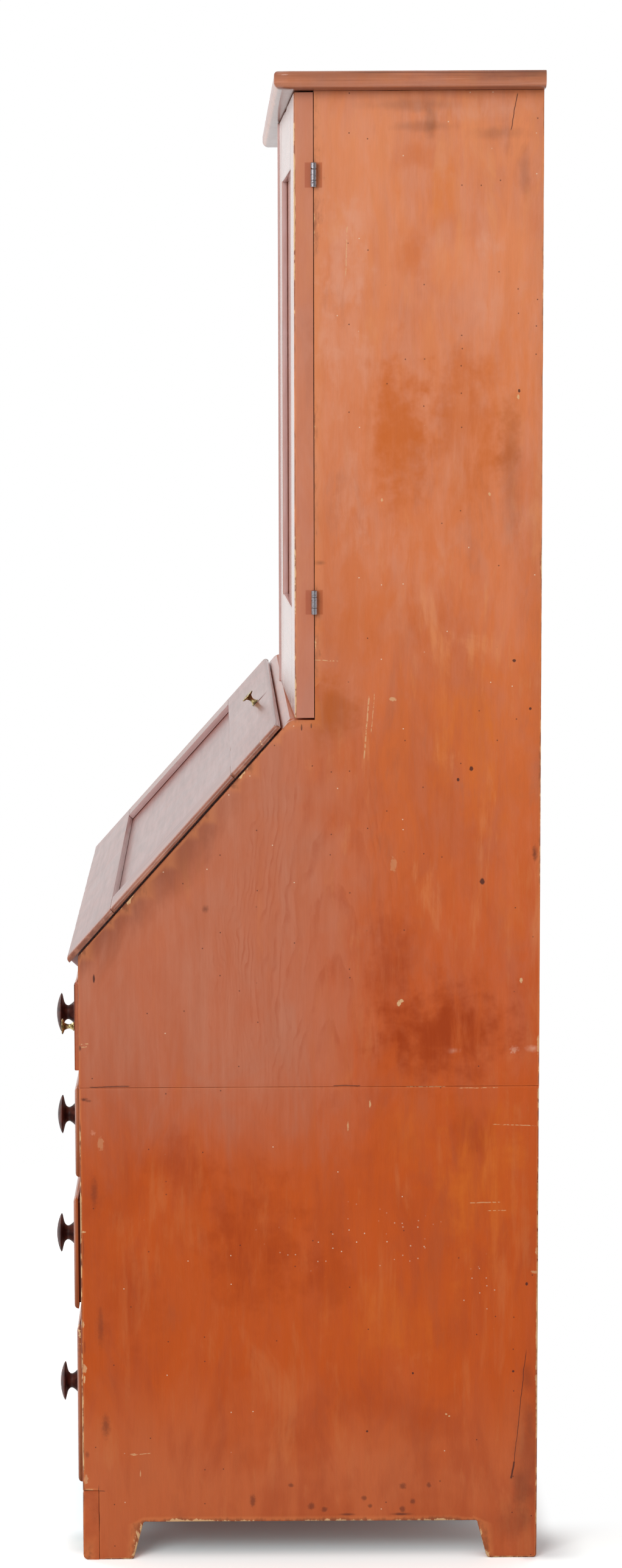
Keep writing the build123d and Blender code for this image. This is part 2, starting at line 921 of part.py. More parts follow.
class Drawer:
    """Where a drawer runs, how its front meets the case, and how far it stands out at rest."""

    def __init__(self, low, opening, half_opening, overlap, pull):
        self.low = low
        self.opening = opening
        self.half_opening = half_opening
        self.overlap = overlap
        self.pull = pull
        self.half = half_opening - drawer_slip
        self.top = opening - drawer_head_gap
        self.depth = lower_depth - back_thick - drawer_back_gap
        self.plane = Plane(origin=(0, front_y - pull, low), x_dir=(1, 0, 0), z_dir=(0, 0, 1))

    def side_plane(self, x):
        """Plane across the drawer at x, drawn with depth along X and height along Y."""
        return Plane(
            origin=self.plane.from_local_coords(Vector(x, 0, 0)),
            x_dir=(0, 1, 0),
            z_dir=(1, 0, 0),
        )

    def knob_base(self, hand):
        """Point on the face where a knob stands."""
        return self.plane.from_local_coords(
            Vector(hand * knob_x, -lip_proud, self.opening / 2 + knob_rise)
        )


def tails(drawer, hand, root, tip, low, high, mode=Mode.ADD):
    """Row of dovetails at the end of a drawer's side, from their root to their tip."""
    count = max(1, round((high - low) / tail_spacing))
    pitch = (high - low) / count
    half_tip = pitch * tail_share / 2
    half_root = half_tip - abs(tip - root) * tan(radians(tail_angle))
    start = min(hand * drawer.half, hand * (drawer.half - drawer_side_thick))
    with BuildSketch(drawer.side_plane(start)) as row:
        for i in range(count):
            middle = low + pitch * i + pitch / 2
            with BuildLine():
                Polyline(
                    (root, middle - half_root),
                    (tip, middle - half_tip),
                    (tip, middle + half_tip),
                    (root, middle + half_root),
                    close=True,
                )
            make_face()
    extrude(row.sketch, amount=drawer_side_thick, mode=mode)


def front_tails(drawer, hand, mode=Mode.ADD):
    """Lapped dovetails between a side and the front."""
    high = drawer.top - drawer_side_drop
    tails(drawer, hand, front_inside, front_lap, drawer_run_gap, high, mode)


def rear_tails(drawer, hand, mode=Mode.ADD):
    """Through dovetails between a side and the back."""
    low = drawer_bottom_rise + drawer_bottom_thick
    high = drawer.top - drawer_side_drop
    tails(drawer, hand, drawer.depth - drawer_back_thick, drawer.depth, low, high, mode)


def bottom_groove(drawer):
    """The room that the drawer's bottom takes in the grooves of front and sides."""
    reach = drawer.half - drawer_side_thick + drawer_groove
    block(
        (-reach, reach),
        (front_inside - drawer_groove, drawer.depth + overrun),
        (drawer_bottom_rise, drawer_bottom_rise + drawer_bottom_thick),
        Mode.SUBTRACT,
    )


def drawer_front(drawer):
    """Front with a rounded lip over the edges of its opening."""
    reach = drawer.half_opening + lip_end_overlap
    with BuildPart(drawer.plane) as front:
        block(
            (-reach, reach),
            (-lip_proud, -lip_gap),
            (-drawer.overlap, drawer.opening + drawer.overlap),
        )
        fillet(front.faces().sort_by(Axis.Y)[0].edges(), radius=lip_round)
        block(
            (-drawer.half, drawer.half),
            (-lip_gap, front_inside),
            (drawer_run_gap, drawer.top),
        )
        bottom_groove(drawer)
        for hand in (-1, 1):
            front_tails(drawer, hand, Mode.SUBTRACT)
            peg_hole(drawer.knob_base(hand), (0, -1, 0), peg_radius + peg_slack, peg_length)
    return front.part


def drawer_box(drawer):
    """Two sides, a back and a bottom, dovetailed and grooved together."""
    inner = drawer.half - drawer_side_thick
    back_front = drawer.depth - drawer_back_thick
    bottom_top = drawer_bottom_rise + drawer_bottom_thick
    top = drawer.top - drawer_side_drop
    with BuildPart(drawer.plane) as sides:
        for hand in (-1, 1):
            span = mirrored(hand, inner, drawer.half)
            block(span, (front_inside, back_front), (drawer_run_gap, top))
            block(span, (back_front, drawer.depth), (drawer_run_gap, bottom_top))
            front_tails(drawer, hand)
            rear_tails(drawer, hand)
        bottom_groove(drawer)
    with BuildPart(drawer.plane) as back:
        block((-drawer.half, drawer.half), (back_front, drawer.depth), (bottom_top, top))
        for hand in (-1, 1):
            rear_tails(drawer, hand, Mode.SUBTRACT)
    reach = inner + drawer_groove - drawer_bottom_slack
    with BuildPart(drawer.plane) as bottom:
        block(
            (-reach, reach),
            (front_inside - drawer_groove + drawer_bottom_slack, drawer.depth),
            (drawer_bottom_rise, bottom_top),
        )
    return Compound(sides.solids() + back.solids() + bottom.solids())


def drawer_knobs(drawer):
    """The pair of knobs of a drawer."""
    with BuildPart() as knobs:
        for hand in (-1, 1):
            wooden_knob(drawer.knob_base(hand))
    return knobs.part


drawers = {
    1: Drawer(first_z, first_opening, divider_inner_x, -desk_drawer_gap, 0),
    2: Drawer(second_z, second_opening, inner_x, lip_overlap, 0),
    3: Drawer(third_z, third_opening, inner_x, lip_overlap, third_drawer_pull),
    4: Drawer(fourth_z, fourth_opening, inner_x, lip_overlap, 0),
}
hands = {"left": -1, "right": 1}
door_spans = knuckle_spans(door_hinge_length)
lid_spans = knuckle_spans(lid_hinge_length)
door_hinge_sizes = (
    door_hinge_length,
    door_barrel_radius,
    door_pin_radius,
    door_leaf_width,
    door_back,
    door_leaf_thick,
)
lid_hinge_sizes = (
    lid_hinge_length,
    lid_barrel_radius,
    lid_pin_radius,
    lid_leaf_width,
    0,
    lid_leaf_thick,
)

os.makedirs("parts", exist_ok=True)

for word, hand in hands.items():
    save(lower_side(hand), f"lower_side_{word}")
    save(upper_side(hand), f"upper_side_{word}")
    save(loper(hand), f"loper_{word}")
    save(brass_knob(loper_knob_base(hand), (0, -1, 0), (1, 0, 0)), f"loper_{word}_knob")
    save(small_drawer(hand), f"small_drawer_{word}")
    top_rail_low = door_height - door_top_rail_width
    save(door_stiles(hand), f"door_{word}_stiles")
    save(
        door_rail(
            hand,
            0,
            door_bottom_rail_width,
            (door_bottom_rail_width - tongue, door_bottom_rail_width),
        ),
        f"door_{word}_bottom_rail",
    )
    save(
        door_rail(hand, top_rail_low, door_height, (top_rail_low, top_rail_low + tongue)),
        f"door_{word}_top_rail",
    )
    save(door_panel(hand), f"door_{word}_panel")
    leaves = hinge_leaves(door_hinge_planes(hand), door_spans[1:2], *door_hinge_sizes)
    save(leaves, f"door_{word}_hinge_leaves")

save(base_skirt(), "base_skirt")
save(board_between_sides((front_y, inside_back_y), (skirt_height, fourth_z)), "bottom_board")
save(board_between_sides((front_y, front_y + rail_depth), (low_rail_z, third_z)), "rail_low")
save(board_between_sides((front_y, front_y + rail_depth), (mid_rail_z, second_z)), "rail_mid")
save(board_between_sides((front_y, inside_back_y), (lower_top_z, seam_z)), "lower_top_board")
save(drawer_runners(), "drawer_runners")
save(back_boards((skirt_height, seam_z)), "lower_back_boards")

save(board_between_sides((front_y, inside_back_y), (seam_z, first_z)), "upper_bottom_board")
save(loper_dividers(), "loper_dividers")
save(writing_bed(), "writing_bed")
save(bookcase_floor(), "bookcase_floor")
save(bookcase_shelves(), "bookcase_shelves")
save(cornice_board(), "cornice_board")
save(back_boards((seam_z, cornice_z)), "upper_back_boards")
save(gallery_shelf(), "gallery_shelf")
save(gallery_dividers(), "gallery_dividers")

case_planes = case_hinge_planes()
save(hinge_leaves(case_planes, door_spans[::2], *door_hinge_sizes), "case_hinge_leaves")
save(hinge_pins(case_planes, door_hinge_length, door_pin_radius), "door_hinge_pins")
bed_planes = lid_hinge_planes((0, 1, 0), (-1, 0, 0))
save(hinge_leaves(bed_planes, lid_spans[::2], *lid_hinge_sizes), "bed_hinge_leaves")
save(hinge_pins(bed_planes, lid_hinge_length, lid_pin_radius), "lid_hinge_pins")

save(lid_bottom_rail(), "lid_bottom_rail")
save(lid_top_rail(), "lid_top_rail")
save(lid_stiles(), "lid_stiles")
save(lid_panel(), "lid_panel")
save(brass_knob(lid_knob_base(), tuple(lid_plane.z_dir), (1, 0, 0)), "lid_knob")
leaf_planes = lid_hinge_planes(tuple(lid_plane.y_dir), (1, 0, 0))
save(hinge_leaves(leaf_planes, lid_spans[1:2], *lid_hinge_sizes), "lid_hinge_leaves")

for number, drawer in drawers.items():
    save(drawer_front(drawer), f"drawer_{number}_front")
    save(drawer_box(drawer), f"drawer_{number}_box")
    save(drawer_knobs(drawer), f"drawer_{number}_knobs")

print("slope", round(degrees(slope_angle), 2), "degrees")
print("writing bed at", round(bed_z, 1), "and top drawer's opening", round(first_opening, 1))
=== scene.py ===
# %% [markdown]
# The desk comes packed, board by board, at its real size. This script dresses it: it loads the packed
# boards as a fixed frame, gives every board an old stained finish, and rebuilds the turned knobs,
# the hinges and the worn edges as finer meshes. Everything is in metres, and Z is up.

# %% The frame
import json
import math

import bmesh
import bpy
from mathutils import Matrix, Vector, noise

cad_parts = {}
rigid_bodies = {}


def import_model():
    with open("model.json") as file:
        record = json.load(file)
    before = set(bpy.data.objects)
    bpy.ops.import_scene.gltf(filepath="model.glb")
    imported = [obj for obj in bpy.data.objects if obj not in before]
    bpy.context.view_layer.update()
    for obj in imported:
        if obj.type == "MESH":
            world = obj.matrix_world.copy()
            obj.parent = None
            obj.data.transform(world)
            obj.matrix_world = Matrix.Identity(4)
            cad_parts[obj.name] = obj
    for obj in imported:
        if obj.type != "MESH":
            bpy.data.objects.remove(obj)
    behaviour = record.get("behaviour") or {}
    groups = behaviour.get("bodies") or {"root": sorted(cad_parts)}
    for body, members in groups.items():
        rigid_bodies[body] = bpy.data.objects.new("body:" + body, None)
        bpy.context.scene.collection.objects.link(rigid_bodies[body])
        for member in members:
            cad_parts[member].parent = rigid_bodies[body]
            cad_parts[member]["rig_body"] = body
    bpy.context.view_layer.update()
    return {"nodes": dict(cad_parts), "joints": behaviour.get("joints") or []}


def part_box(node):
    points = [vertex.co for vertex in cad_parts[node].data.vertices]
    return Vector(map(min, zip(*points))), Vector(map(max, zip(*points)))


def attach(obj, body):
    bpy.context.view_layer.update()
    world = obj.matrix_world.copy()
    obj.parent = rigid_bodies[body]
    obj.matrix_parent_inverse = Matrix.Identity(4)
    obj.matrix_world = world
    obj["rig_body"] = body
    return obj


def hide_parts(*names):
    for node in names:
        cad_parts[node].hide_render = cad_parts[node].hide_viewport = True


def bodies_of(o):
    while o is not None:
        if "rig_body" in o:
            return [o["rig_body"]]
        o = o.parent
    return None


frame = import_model()
nodes = frame["nodes"]
MM = 0.001

# %% [markdown]
# The main sizes are read back from the frame, so the script never repeats one. A node's box gives its
# lowest and highest corner at rest.

# %% Places on the case
SIDE_LOW, SIDE_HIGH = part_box("lower_side_right")
CORNICE_LOW, CORNICE_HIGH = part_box("cornice_board")
HALF_WIDTH = SIDE_HIGH[0]
FRONT_Y = SIDE_LOW[1]
BACK_Y = SIDE_HIGH[1]
SEAM_Z = SIDE_HIGH[2]
TOP_Z = CORNICE_HIGH[2]
JOINTS = {joint["name"]: joint for joint in frame["joints"]}
ACROSS, DEEP, UP = Vector((1, 0, 0)), Vector((0, 1, 0)), Vector((0, 0, 1))
TOUCH = 0.0001
LID_PLACE = Vector(JOINTS["lid"]["pos_m"])
LID_FACE = max(nodes["lid_panel"].data.polygons, key=lambda flat: flat.area * flat.normal.z)
LID_OUT = LID_FACE.normal.copy()
LID_UP = LID_OUT.cross(ACROSS)
LID_TILT = math.atan2(LID_UP.z, LID_UP.y)
LID_SINK = 0.012  # the slope of the sides lies this far above the line of the lid's hinges
print("case:", [round(size, 3) for size in (2 * HALF_WIDTH, BACK_Y - FRONT_Y, TOP_Z)], "wide, deep and high")
print("lid: tilted", round(math.degrees(LID_TILT), 2), "degrees")

# %% [markdown]
# Knobs and hinge pins come several to a node. Each loose part of such a node is found by walking from
# point to point along its edges, and its middle tells where a finer piece has to stand.

# %% Loose parts
MERGE = 0.00001


def loose_parts(node):
    """The middle of each loose part of a CAD node."""
    shape = bmesh.new()
    shape.from_mesh(nodes[node].data)
    bmesh.ops.remove_doubles(shape, verts=shape.verts, dist=MERGE)
    places, left = [], set(shape.verts)
    while left:
        part, front = [], [left.pop()]
        while front:
            vert = front.pop()
            part.append(vert.co.copy())
            for edge in vert.link_edges:
                other = edge.other_vert(vert)
                if other in left:
                    left.remove(other)
                    front.append(other)
        places.append(sum(part, Vector()) / len(part))
    shape.free()
    return sorted(places, key=lambda place: (place.x, place.z))


DOOR_PINS = loose_parts("door_hinge_pins")
LID_PINS = loose_parts("lid_hinge_pins")
print("hinges:", len(DOOR_PINS), "on the doors and", len(LID_PINS), "on the lid")

# %% [markdown]
# The photograph looks at the right end of the desk from about four metres, a little from above, with a
# long lens. Upright edges lean together towards the floor, so the camera points down by some five
# degrees, and the frame is cropped off centre. A lens shift gives that crop without turning the camera.

# %% Camera
PHOTO_WIDTH, PHOTO_HEIGHT = 1022, 2576
FOCAL_PIXELS = 4888
AXIS_X, AXIS_Y = 360.3, 1088.1
SENSOR = 36.0
CAMERA_AWAY = 3.981
CAMERA_BEHIND = 0.4332
CAMERA_HEIGHT = 1.628
PITCH = math.radians(5.47)
ROLL = 0.005
NEAREST, FARTHEST = 0.05, 100


def make_camera():
    """Camera off the right end of the desk, pitched down, its picture shifted to the crop."""
    data = bpy.data.cameras.new("camera")
    data.sensor_width = SENSOR
    data.lens = FOCAL_PIXELS / PHOTO_HEIGHT * SENSOR
    data.shift_x = (PHOTO_WIDTH / 2 - AXIS_X) / PHOTO_HEIGHT
    data.shift_y = (AXIS_Y - PHOTO_HEIGHT / 2) / PHOTO_HEIGHT
    data.clip_start, data.clip_end = NEAREST, FARTHEST
    camera = bpy.data.objects.new("camera", data)
    bpy.context.collection.objects.link(camera)
    ahead = Vector((-math.cos(PITCH), 0, -math.sin(PITCH)))
    level_right = DEEP
    level_up = level_right.cross(ahead)
    right = level_right * math.cos(ROLL) - level_up * math.sin(ROLL)
    up = level_up * math.cos(ROLL) + level_right * math.sin(ROLL)
    turn = Matrix((right, up, -ahead)).transposed().to_4x4()
    place = Vector((HALF_WIDTH + CAMERA_AWAY, BACK_Y - CAMERA_BEHIND, CAMERA_HEIGHT))
    camera.matrix_world = Matrix.Translation(place) @ turn
    return camera


bpy.context.scene.camera = make_camera()
print("camera: lens", round(bpy.context.scene.camera.data.lens, 1), "mm")

# %% [markdown]
# Colours are easier to judge as they look on a screen, so they are written that way and turned into
# the linear numbers that the shaders work with.

# %% Colours
def screen(red, green, blue):
    """Linear colour of a colour written as a screen shows it, from 0 to 255."""
    linear = []
    for part in (red, green, blue):
        share = part / 255
        linear.append(share / 12.92 if share < 0.04045 else ((share + 0.055) / 1.055) ** 2.4)
    return (*linear, 1.0)


print("colours: a screen grey of 128 is", round(screen(128, 128, 128)[0], 3), "in linear light")

# %% [markdown]
# Shader maths reads best as plain arithmetic. A Field wraps one output socket, and its operators add
# the Math nodes, so a mask can be written as a sum of patterns and then eased between two levels.

# %% Shader maths
class Field:
    """An output socket that can be added, multiplied and compared like a number."""

    def __init__(self, finish, socket):
        self.finish = finish
        self.socket = socket

    def maths(self, operation, *values):
        return self.finish.node("ShaderNodeMath", {"operation": operation}, *values)

    def __add__(self, other):
        return self.maths("ADD", self, other)

    def __radd__(self, other):
        return self.maths("ADD", other, self)

    def __sub__(self, other):
        return self.maths("SUBTRACT", self, other)

    def __rsub__(self, other):
        return self.maths("SUBTRACT", other, self)

    def __mul__(self, other):
        return self.maths("MULTIPLY", self, other)

    def __rmul__(self, other):
        return self.maths("MULTIPLY", other, self)

    def __truediv__(self, other):
        return self.maths("DIVIDE", self, other)

    def __abs__(self):
        return self.maths("ABSOLUTE", self)

    def most(self, other):
        return self.maths("MAXIMUM", self, other)

    def fraction(self):
        return self.maths("FRACT", self)

    def ease(self, low, high, start=0.0, end=1.0):
        """A smooth change from start to end as the field goes from low to high."""
        settings = {"interpolation_type": "SMOOTHSTEP"}
        return self.finish.node("ShaderNodeMapRange", settings, self, low, high, start, end)


print("fields: ready")

# %% [markdown]
# Every other node comes from one method: its settings come first, because they decide which sockets it
# has, and then the numbers or links for its inputs. A material and the world both have such a tree, so
# one class serves them.

# %% Node trees
class Tree:
    """A node tree, emptied, whose nodes are all added by one method."""

    def __init__(self, tree):
        self.tree = tree
        self.tree.nodes.clear()

    def node(self, kind, settings=None, *values, output=0, **named):
        """Adds a node, sets it up, feeds its inputs in order or by name, and returns an output."""
        made = self.tree.nodes.new(kind)
        for key, value in (settings or {}).items():
            if key == "stops":
                self.set_stops(made.color_ramp, value)
            else:
                setattr(made, key, value)
        live = [socket for socket in made.inputs if socket.enabled]
        for socket, value in zip(live, values):
            self.feed(socket, value)
        for key, value in named.items():
            self.feed(next(socket for socket in live if socket.name == key), value)
        if output is None:
            return made
        if isinstance(output, str):
            return Field(self, made.outputs[output])
        shown = [socket for socket in made.outputs if socket.enabled]
        return Field(self, shown[output])

    def feed(self, socket, value):
        if isinstance(value, Field):
            self.tree.links.new(value.socket, socket)
        elif value is not None:
            socket.default_value = value

    def set_stops(self, ramp, stops):
        while len(ramp.elements) < len(stops):
            ramp.elements.new(1.0)
        for element, (where, colour) in zip(ramp.elements, stops):
            element.position = where
            element.color = colour

    def end(self, field, output):
        """Links a field to the first input of an output node."""
        self.tree.links.new(field.socket, output.inputs[0])


print("node trees: ready")

# %% [markdown]
# A Finish is the tree of one material. It ends in a Principled shader, knows the place of each point in
# Object coordinates, and adds the nodes that a wood or metal needs again and again. They could be written
# out in every material, but then each change would have to be made in all of them.

# %% Finishes
class Finish(Tree):
    """One material and its node tree, ending in a Principled shader unless its surface is made later."""

    def __init__(self, name, principled=True):
        self.material = bpy.data.materials.new(name)
        self.material.use_nodes = True
        super().__init__(self.material.node_tree)
        self.out = self.tree.nodes.new("ShaderNodeOutputMaterial")
        if principled:
            self.shader = self.tree.nodes.new("ShaderNodeBsdfPrincipled")
            self.tree.links.new(self.shader.outputs[0], self.out.inputs["Surface"])
        self.place = self.node("ShaderNodeTexCoord", {}, output="Object")
        axes = self.node("ShaderNodeSeparateXYZ", {}, self.place, output=None)
        self.x, self.y, self.z = (Field(self, socket) for socket in axes.outputs)

    def set(self, **values):
        """Feeds the shader's own sockets, whose names are written with _ for a space."""
        for key, value in values.items():
            self.feed(self.shader.inputs[key.replace("_", " ")], value)

    def mix(self, factor, first, second):
        """A colour between two colours."""
        settings = {"data_type": "RGBA", "clamp_factor": True}
        return self.node("ShaderNodeMix", settings, factor, first, second)

    def vector(self, operation, *values, **named):
        """Maths on positions, directions or colours."""
        return self.node("ShaderNodeVectorMath", {"operation": operation}, *values, **named)

    def scaled(self, colour, share):
        """A colour made darker or lighter by a number or a field."""
        return self.vector("SCALE", colour, Scale=share)

    def along(self, vector, direction):
        """How far a vector reaches in a direction."""
        return self.vector("DOT_PRODUCT", vector, tuple(direction))

    def facing(self, direction):
        """1 where the surface faces a direction, and -1 where it faces away from it."""
        return self.along(self.node("ShaderNodeTexCoord", {}, output="Normal"), direction)

    def stretch(self, scale, shift=(0.0, 0.0, 0.0), place=None):
        """The position, moved and then stretched, for a pattern to be read at."""
        moved = self.vector("ADD", place or self.place, shift)
        return self.vector("MULTIPLY", moved, scale)

    def noise(self, where, scale, detail=2.0, roughness=0.5, distortion=0.0):
        values = {"Vector": where, "Scale": scale, "Detail": detail}
        values.update({"Roughness": roughness, "Distortion": distortion})
        return self.node("ShaderNodeTexNoise", {}, **values)

    def ramp(self, field, stops):
        return self.node("ShaderNodeValToRGB", {"stops": stops}, field)

    def bump(self, height, distance, strength):
        return self.node("ShaderNodeBump", {}, Strength=strength, Distance=distance, Height=height)

    def cells(self, where):
        """A flat pattern of cells: the distance to each cell's middle, and a chance from 0 to 1 per cell."""
        cells = self.node("ShaderNodeTexVoronoi", {"voronoi_dimensions": "2D"}, where, 1.0, output=None)
        chance = self.node("ShaderNodeSeparateColor", {}, Field(self, cells.outputs["Color"]), output=0)
        return Field(self, cells.outputs["Distance"]), chance


print("finishes: ready")

# %% [markdown]
# The photograph is a cut-out on white: the desk stands on a white floor that keeps its soft shadow. A
# floor that is really white would throw too much light up at the desk, so its colour depends on who
# looks. The camera and mirror-like surfaces see bright paper, and further out plain white; all other
# light meets a pale grey floor. Under and around the case the paper has painted shade: a cool tint that
# takes the red bounce light out of the shade, a darker band just inside the case's end, and a painted
# shadow beside the back foot. Behind the case it is painted plain white, which hides the case's shadow
# there, as in the cut-out.

# %% Floor
FLOOR_REACH = 14.0
PAPER_SEEN = (1.46, 1.52, 1.52, 1.0)
# Painted shade: a darker band in the paper just inside the case's end.
PAPER_SHADE_BAND = (0.96, 1.12, 1.15, 1.0)
# A cool tint painted into the shade under the case, which takes its red bounce light out.
PAPER_SHADE_TINT = (1.15, 1.8, 2.0, 1.0)
PAPER_LIT = screen(196, 196, 196)
PAPER_MIRRORED = (1.3, 1.3, 1.3, 1.0)
# A painted shadow in the paper beside the back foot.
PAPER_FOOT_SHADOW = (0.98, 1.00, 1.01, 1.0)
SHADE_BAND_SHARE = 0.9
WHITE_FROM, WHITE_TO = 0.75, 1.7


def rays(tree, *kinds):
    """1 for rays of these kinds, and 0 for all others."""
    path = tree.node("ShaderNodeLightPath", output=None)
    seen = [Field(tree, path.outputs[f"Is {kind} Ray"]) for kind in kinds]
    for other in seen[1:]:
        seen[0] = seen[0].most(other)
    return seen[0]


def fade(field, edge, start, end):
    """0 to 1 as the field goes from start to end, both counted outwards from an edge of the case."""
    return field.ease(edge + start, edge + end)


def make_floor():
    """A large pale floor just under the feet."""
    shape = bmesh.new()
    bmesh.ops.create_grid(shape, x_segments=1, y_segments=1, size=FLOOR_REACH)
    data = bpy.data.meshes.new("floor")
    shape.to_mesh(data)
    shape.free()
    floor = bpy.data.objects.new("floor", data)
    bpy.context.collection.objects.link(floor)
    finish = Finish("floor_paper", principled=False)
    camera, seen = rays(finish, "Camera"), rays(finish, "Camera", "Glossy", "Transmission")
    distance = finish.vector("LENGTH", finish.place)
    across, deep = abs(finish.x), abs(finish.y)
    # Painted shade: a cool tint in the paper under the case.
    tinted_shade = fade(across, HALF_WIDTH, 0.0, -0.2) * fade(deep, BACK_Y, 0.05, -0.15)
    sheet = finish.mix(tinted_shade, PAPER_SEEN, PAPER_SHADE_TINT)
    # Painted shade: a darker band just inside the case's end.
    rim = fade(across, HALF_WIDTH, -0.005, -0.04) * fade(across, HALF_WIDTH, -0.12, -0.07)
    rim = rim * fade(deep, BACK_Y, 0.01, -0.04)
    sheet = finish.mix(rim * SHADE_BAND_SHARE, sheet, PAPER_SHADE_BAND)
    # Painted shadow: darker paper beside the back foot.
    foot_shadow = fade(finish.x, HALF_WIDTH, -0.14, -0.05) * fade(finish.x, HALF_WIDTH, 0.02, -0.01)
    foot_shadow = foot_shadow * fade(finish.y, BACK_Y, 0.085, 0.0) * fade(finish.y, BACK_Y, -0.03, -0.01)
    sheet = finish.mix(foot_shadow, sheet, PAPER_FOOT_SHADOW)
    sheet = finish.mix(camera, PAPER_MIRRORED, sheet)
    paper = finish.node("ShaderNodeBsdfDiffuse", {}, finish.mix(seen, PAPER_LIT, sheet))
    white = finish.node("ShaderNodeEmission")
    # Painted light: behind the case the paper turns plain white, which hides the case's shadow there.
    shadow_hidden = fade(finish.y, BACK_Y, -0.01, 0.04) * fade(finish.x, HALF_WIDTH, -0.03, -0.14)
    cut_out = distance.ease(WHITE_FROM, WHITE_TO).most(shadow_hidden)
    blend = finish.node("ShaderNodeMixShader", {}, seen * cut_out, paper, white)
    finish.end(blend, finish.out)
    data.materials.append(finish.material)


make_floor()
print("floor:", 2 * FLOOR_REACH, "m square, white from", WHITE_TO, "m out")

# %% [markdown]
# The world lights the desk evenly from all sides. Straight rays see it as plain white. Glossy rays see
# white behind and beside the desk, and a dim room on the camera's side, so a board that faces the
# camera keeps its deep colour while a board seen edge-on turns pale, as in the photograph.

# %% World
WORLD_LIGHT = 0.66
ROOM_SHARE = 0.25
ROOM_TURN = (-0.1, 0.6)
WHITE = (1.0, 1.0, 1.0, 1.0)


def make_world():
    """An even pale sky, white where it is seen, and dimmer on the camera's side for glossy rays."""
    world = bpy.data.worlds.new("studio")
    world.use_nodes = True
    bpy.context.scene.world = world
    sky = Tree(world.node_tree)
    camera, glossy = rays(sky, "Camera"), rays(sky, "Glossy")
    direction = sky.node("ShaderNodeTexCoord", {}, output="Generated")
    towards = sky.node("ShaderNodeSeparateXYZ", {}, direction, output="X")
    room = towards.ease(*ROOM_TURN, 1.0, ROOM_SHARE)
    strength = camera + (1.0 - camera) * (glossy * room + (1.0 - glossy) * WORLD_LIGHT)
    light = sky.node("ShaderNodeBackground", {}, WHITE, Strength=strength)
    sky.end(light, sky.node("ShaderNodeOutputWorld", output=None))


make_world()
print("world: light", WORLD_LIGHT, "all round")

# %% [markdown]
# Two large soft lamps do the rest: the key stands off the front right corner, so that the shadow falls
# to the back, and a weaker one lights the front. Their power is set so that a colour renders about as
# it is written.

# %% Lamps
KEY_POWER = 105.0
FRONT_POWER = 60.0
KEY_PLACE = (4.2, -2.4, 3.4)
FRONT_PLACE = (-2.4, -3.8, 2.6)
LAMP_SIZE = 2.6
MIDDLE = Vector((0.0, 0.0, TOP_Z / 2))


def make_lamp(name, place, power):
    """A soft square lamp that points at the middle of the desk."""
    data = bpy.data.lights.new(name, "AREA")
    data.shape = "SQUARE"
    data.size = LAMP_SIZE
    data.energy = power
    lamp = bpy.data.objects.new(name, data)
    bpy.context.collection.objects.link(lamp)
    lamp.location = place
    lamp.rotation_mode = "QUATERNION"
    lamp.rotation_quaternion = (MIDDLE - Vector(place)).to_track_quat("-Z", "Y")


bpy.context.scene.view_settings.view_transform = "Standard"
make_lamp("key", KEY_PLACE, KEY_POWER)
make_lamp("front", FRONT_PLACE, FRONT_POWER)
print("lamps: key", KEY_POWER, "W and front", FRONT_POWER, "W")

# %% [markdown]
# The case is an old softwood under a reddish stain. Below the seam the stain is still deep; higher up
# the sun has bleached it to a cloudy orange, and years of dusting and polish left a pink haze around
# the desk part. Each of these is a layer with its own mask, so it can be moved or weakened by itself.

# %% Stain colours
FOOT_STAIN = screen(202, 102, 56)
DEEP_STAIN = screen(200, 84, 20)
WARM_STAIN = screen(212, 106, 44)
PALE_STAIN = screen(226, 134, 80)
FILM_STAIN = screen(228, 158, 128)
HAZE_STAIN = screen(190, 114, 86)
GLOW_STAIN = screen(232, 146, 88)
RED_STAIN = screen(166, 60, 12)
AMBER_STAIN = screen(206, 104, 40)
GOLD_STAIN = screen(222, 116, 40)
SMOKE_STAIN = screen(158, 84, 50)
BARE_WOOD = screen(232, 190, 140)
SOIL = screen(62, 36, 36)
FLECK = screen(240, 216, 188)
HEIGHT_STOPS = (
    (0.00, FOOT_STAIN),
    (0.06, FOOT_STAIN),
    (0.13, DEEP_STAIN),
    (0.40, DEEP_STAIN),
    (0.60, WARM_STAIN),
    (0.96, PALE_STAIN),
)
print("stain:", len(HEIGHT_STOPS), "stops over the height")

# %% [markdown]
# A pattern follows the grain if it is stretched along it. So every wood pattern is read at the same
# place on the board, squeezed along one axis. Noise at different sizes gives clouds, streaks and the
# fine lines of the softwood.

# %% Patterns in a board
ALONG_SHARE = 0.035
GRAIN_ROUGHNESS = 0.6
SMALL_MARK = 0.0085
GRAINS = {
    "X": (ALONG_SHARE, 1.0, 1.0),
    "Y": (1.0, ALONG_SHARE, 1.0),
    "Z": (1.0, 1.0, ALONG_SHARE),
}


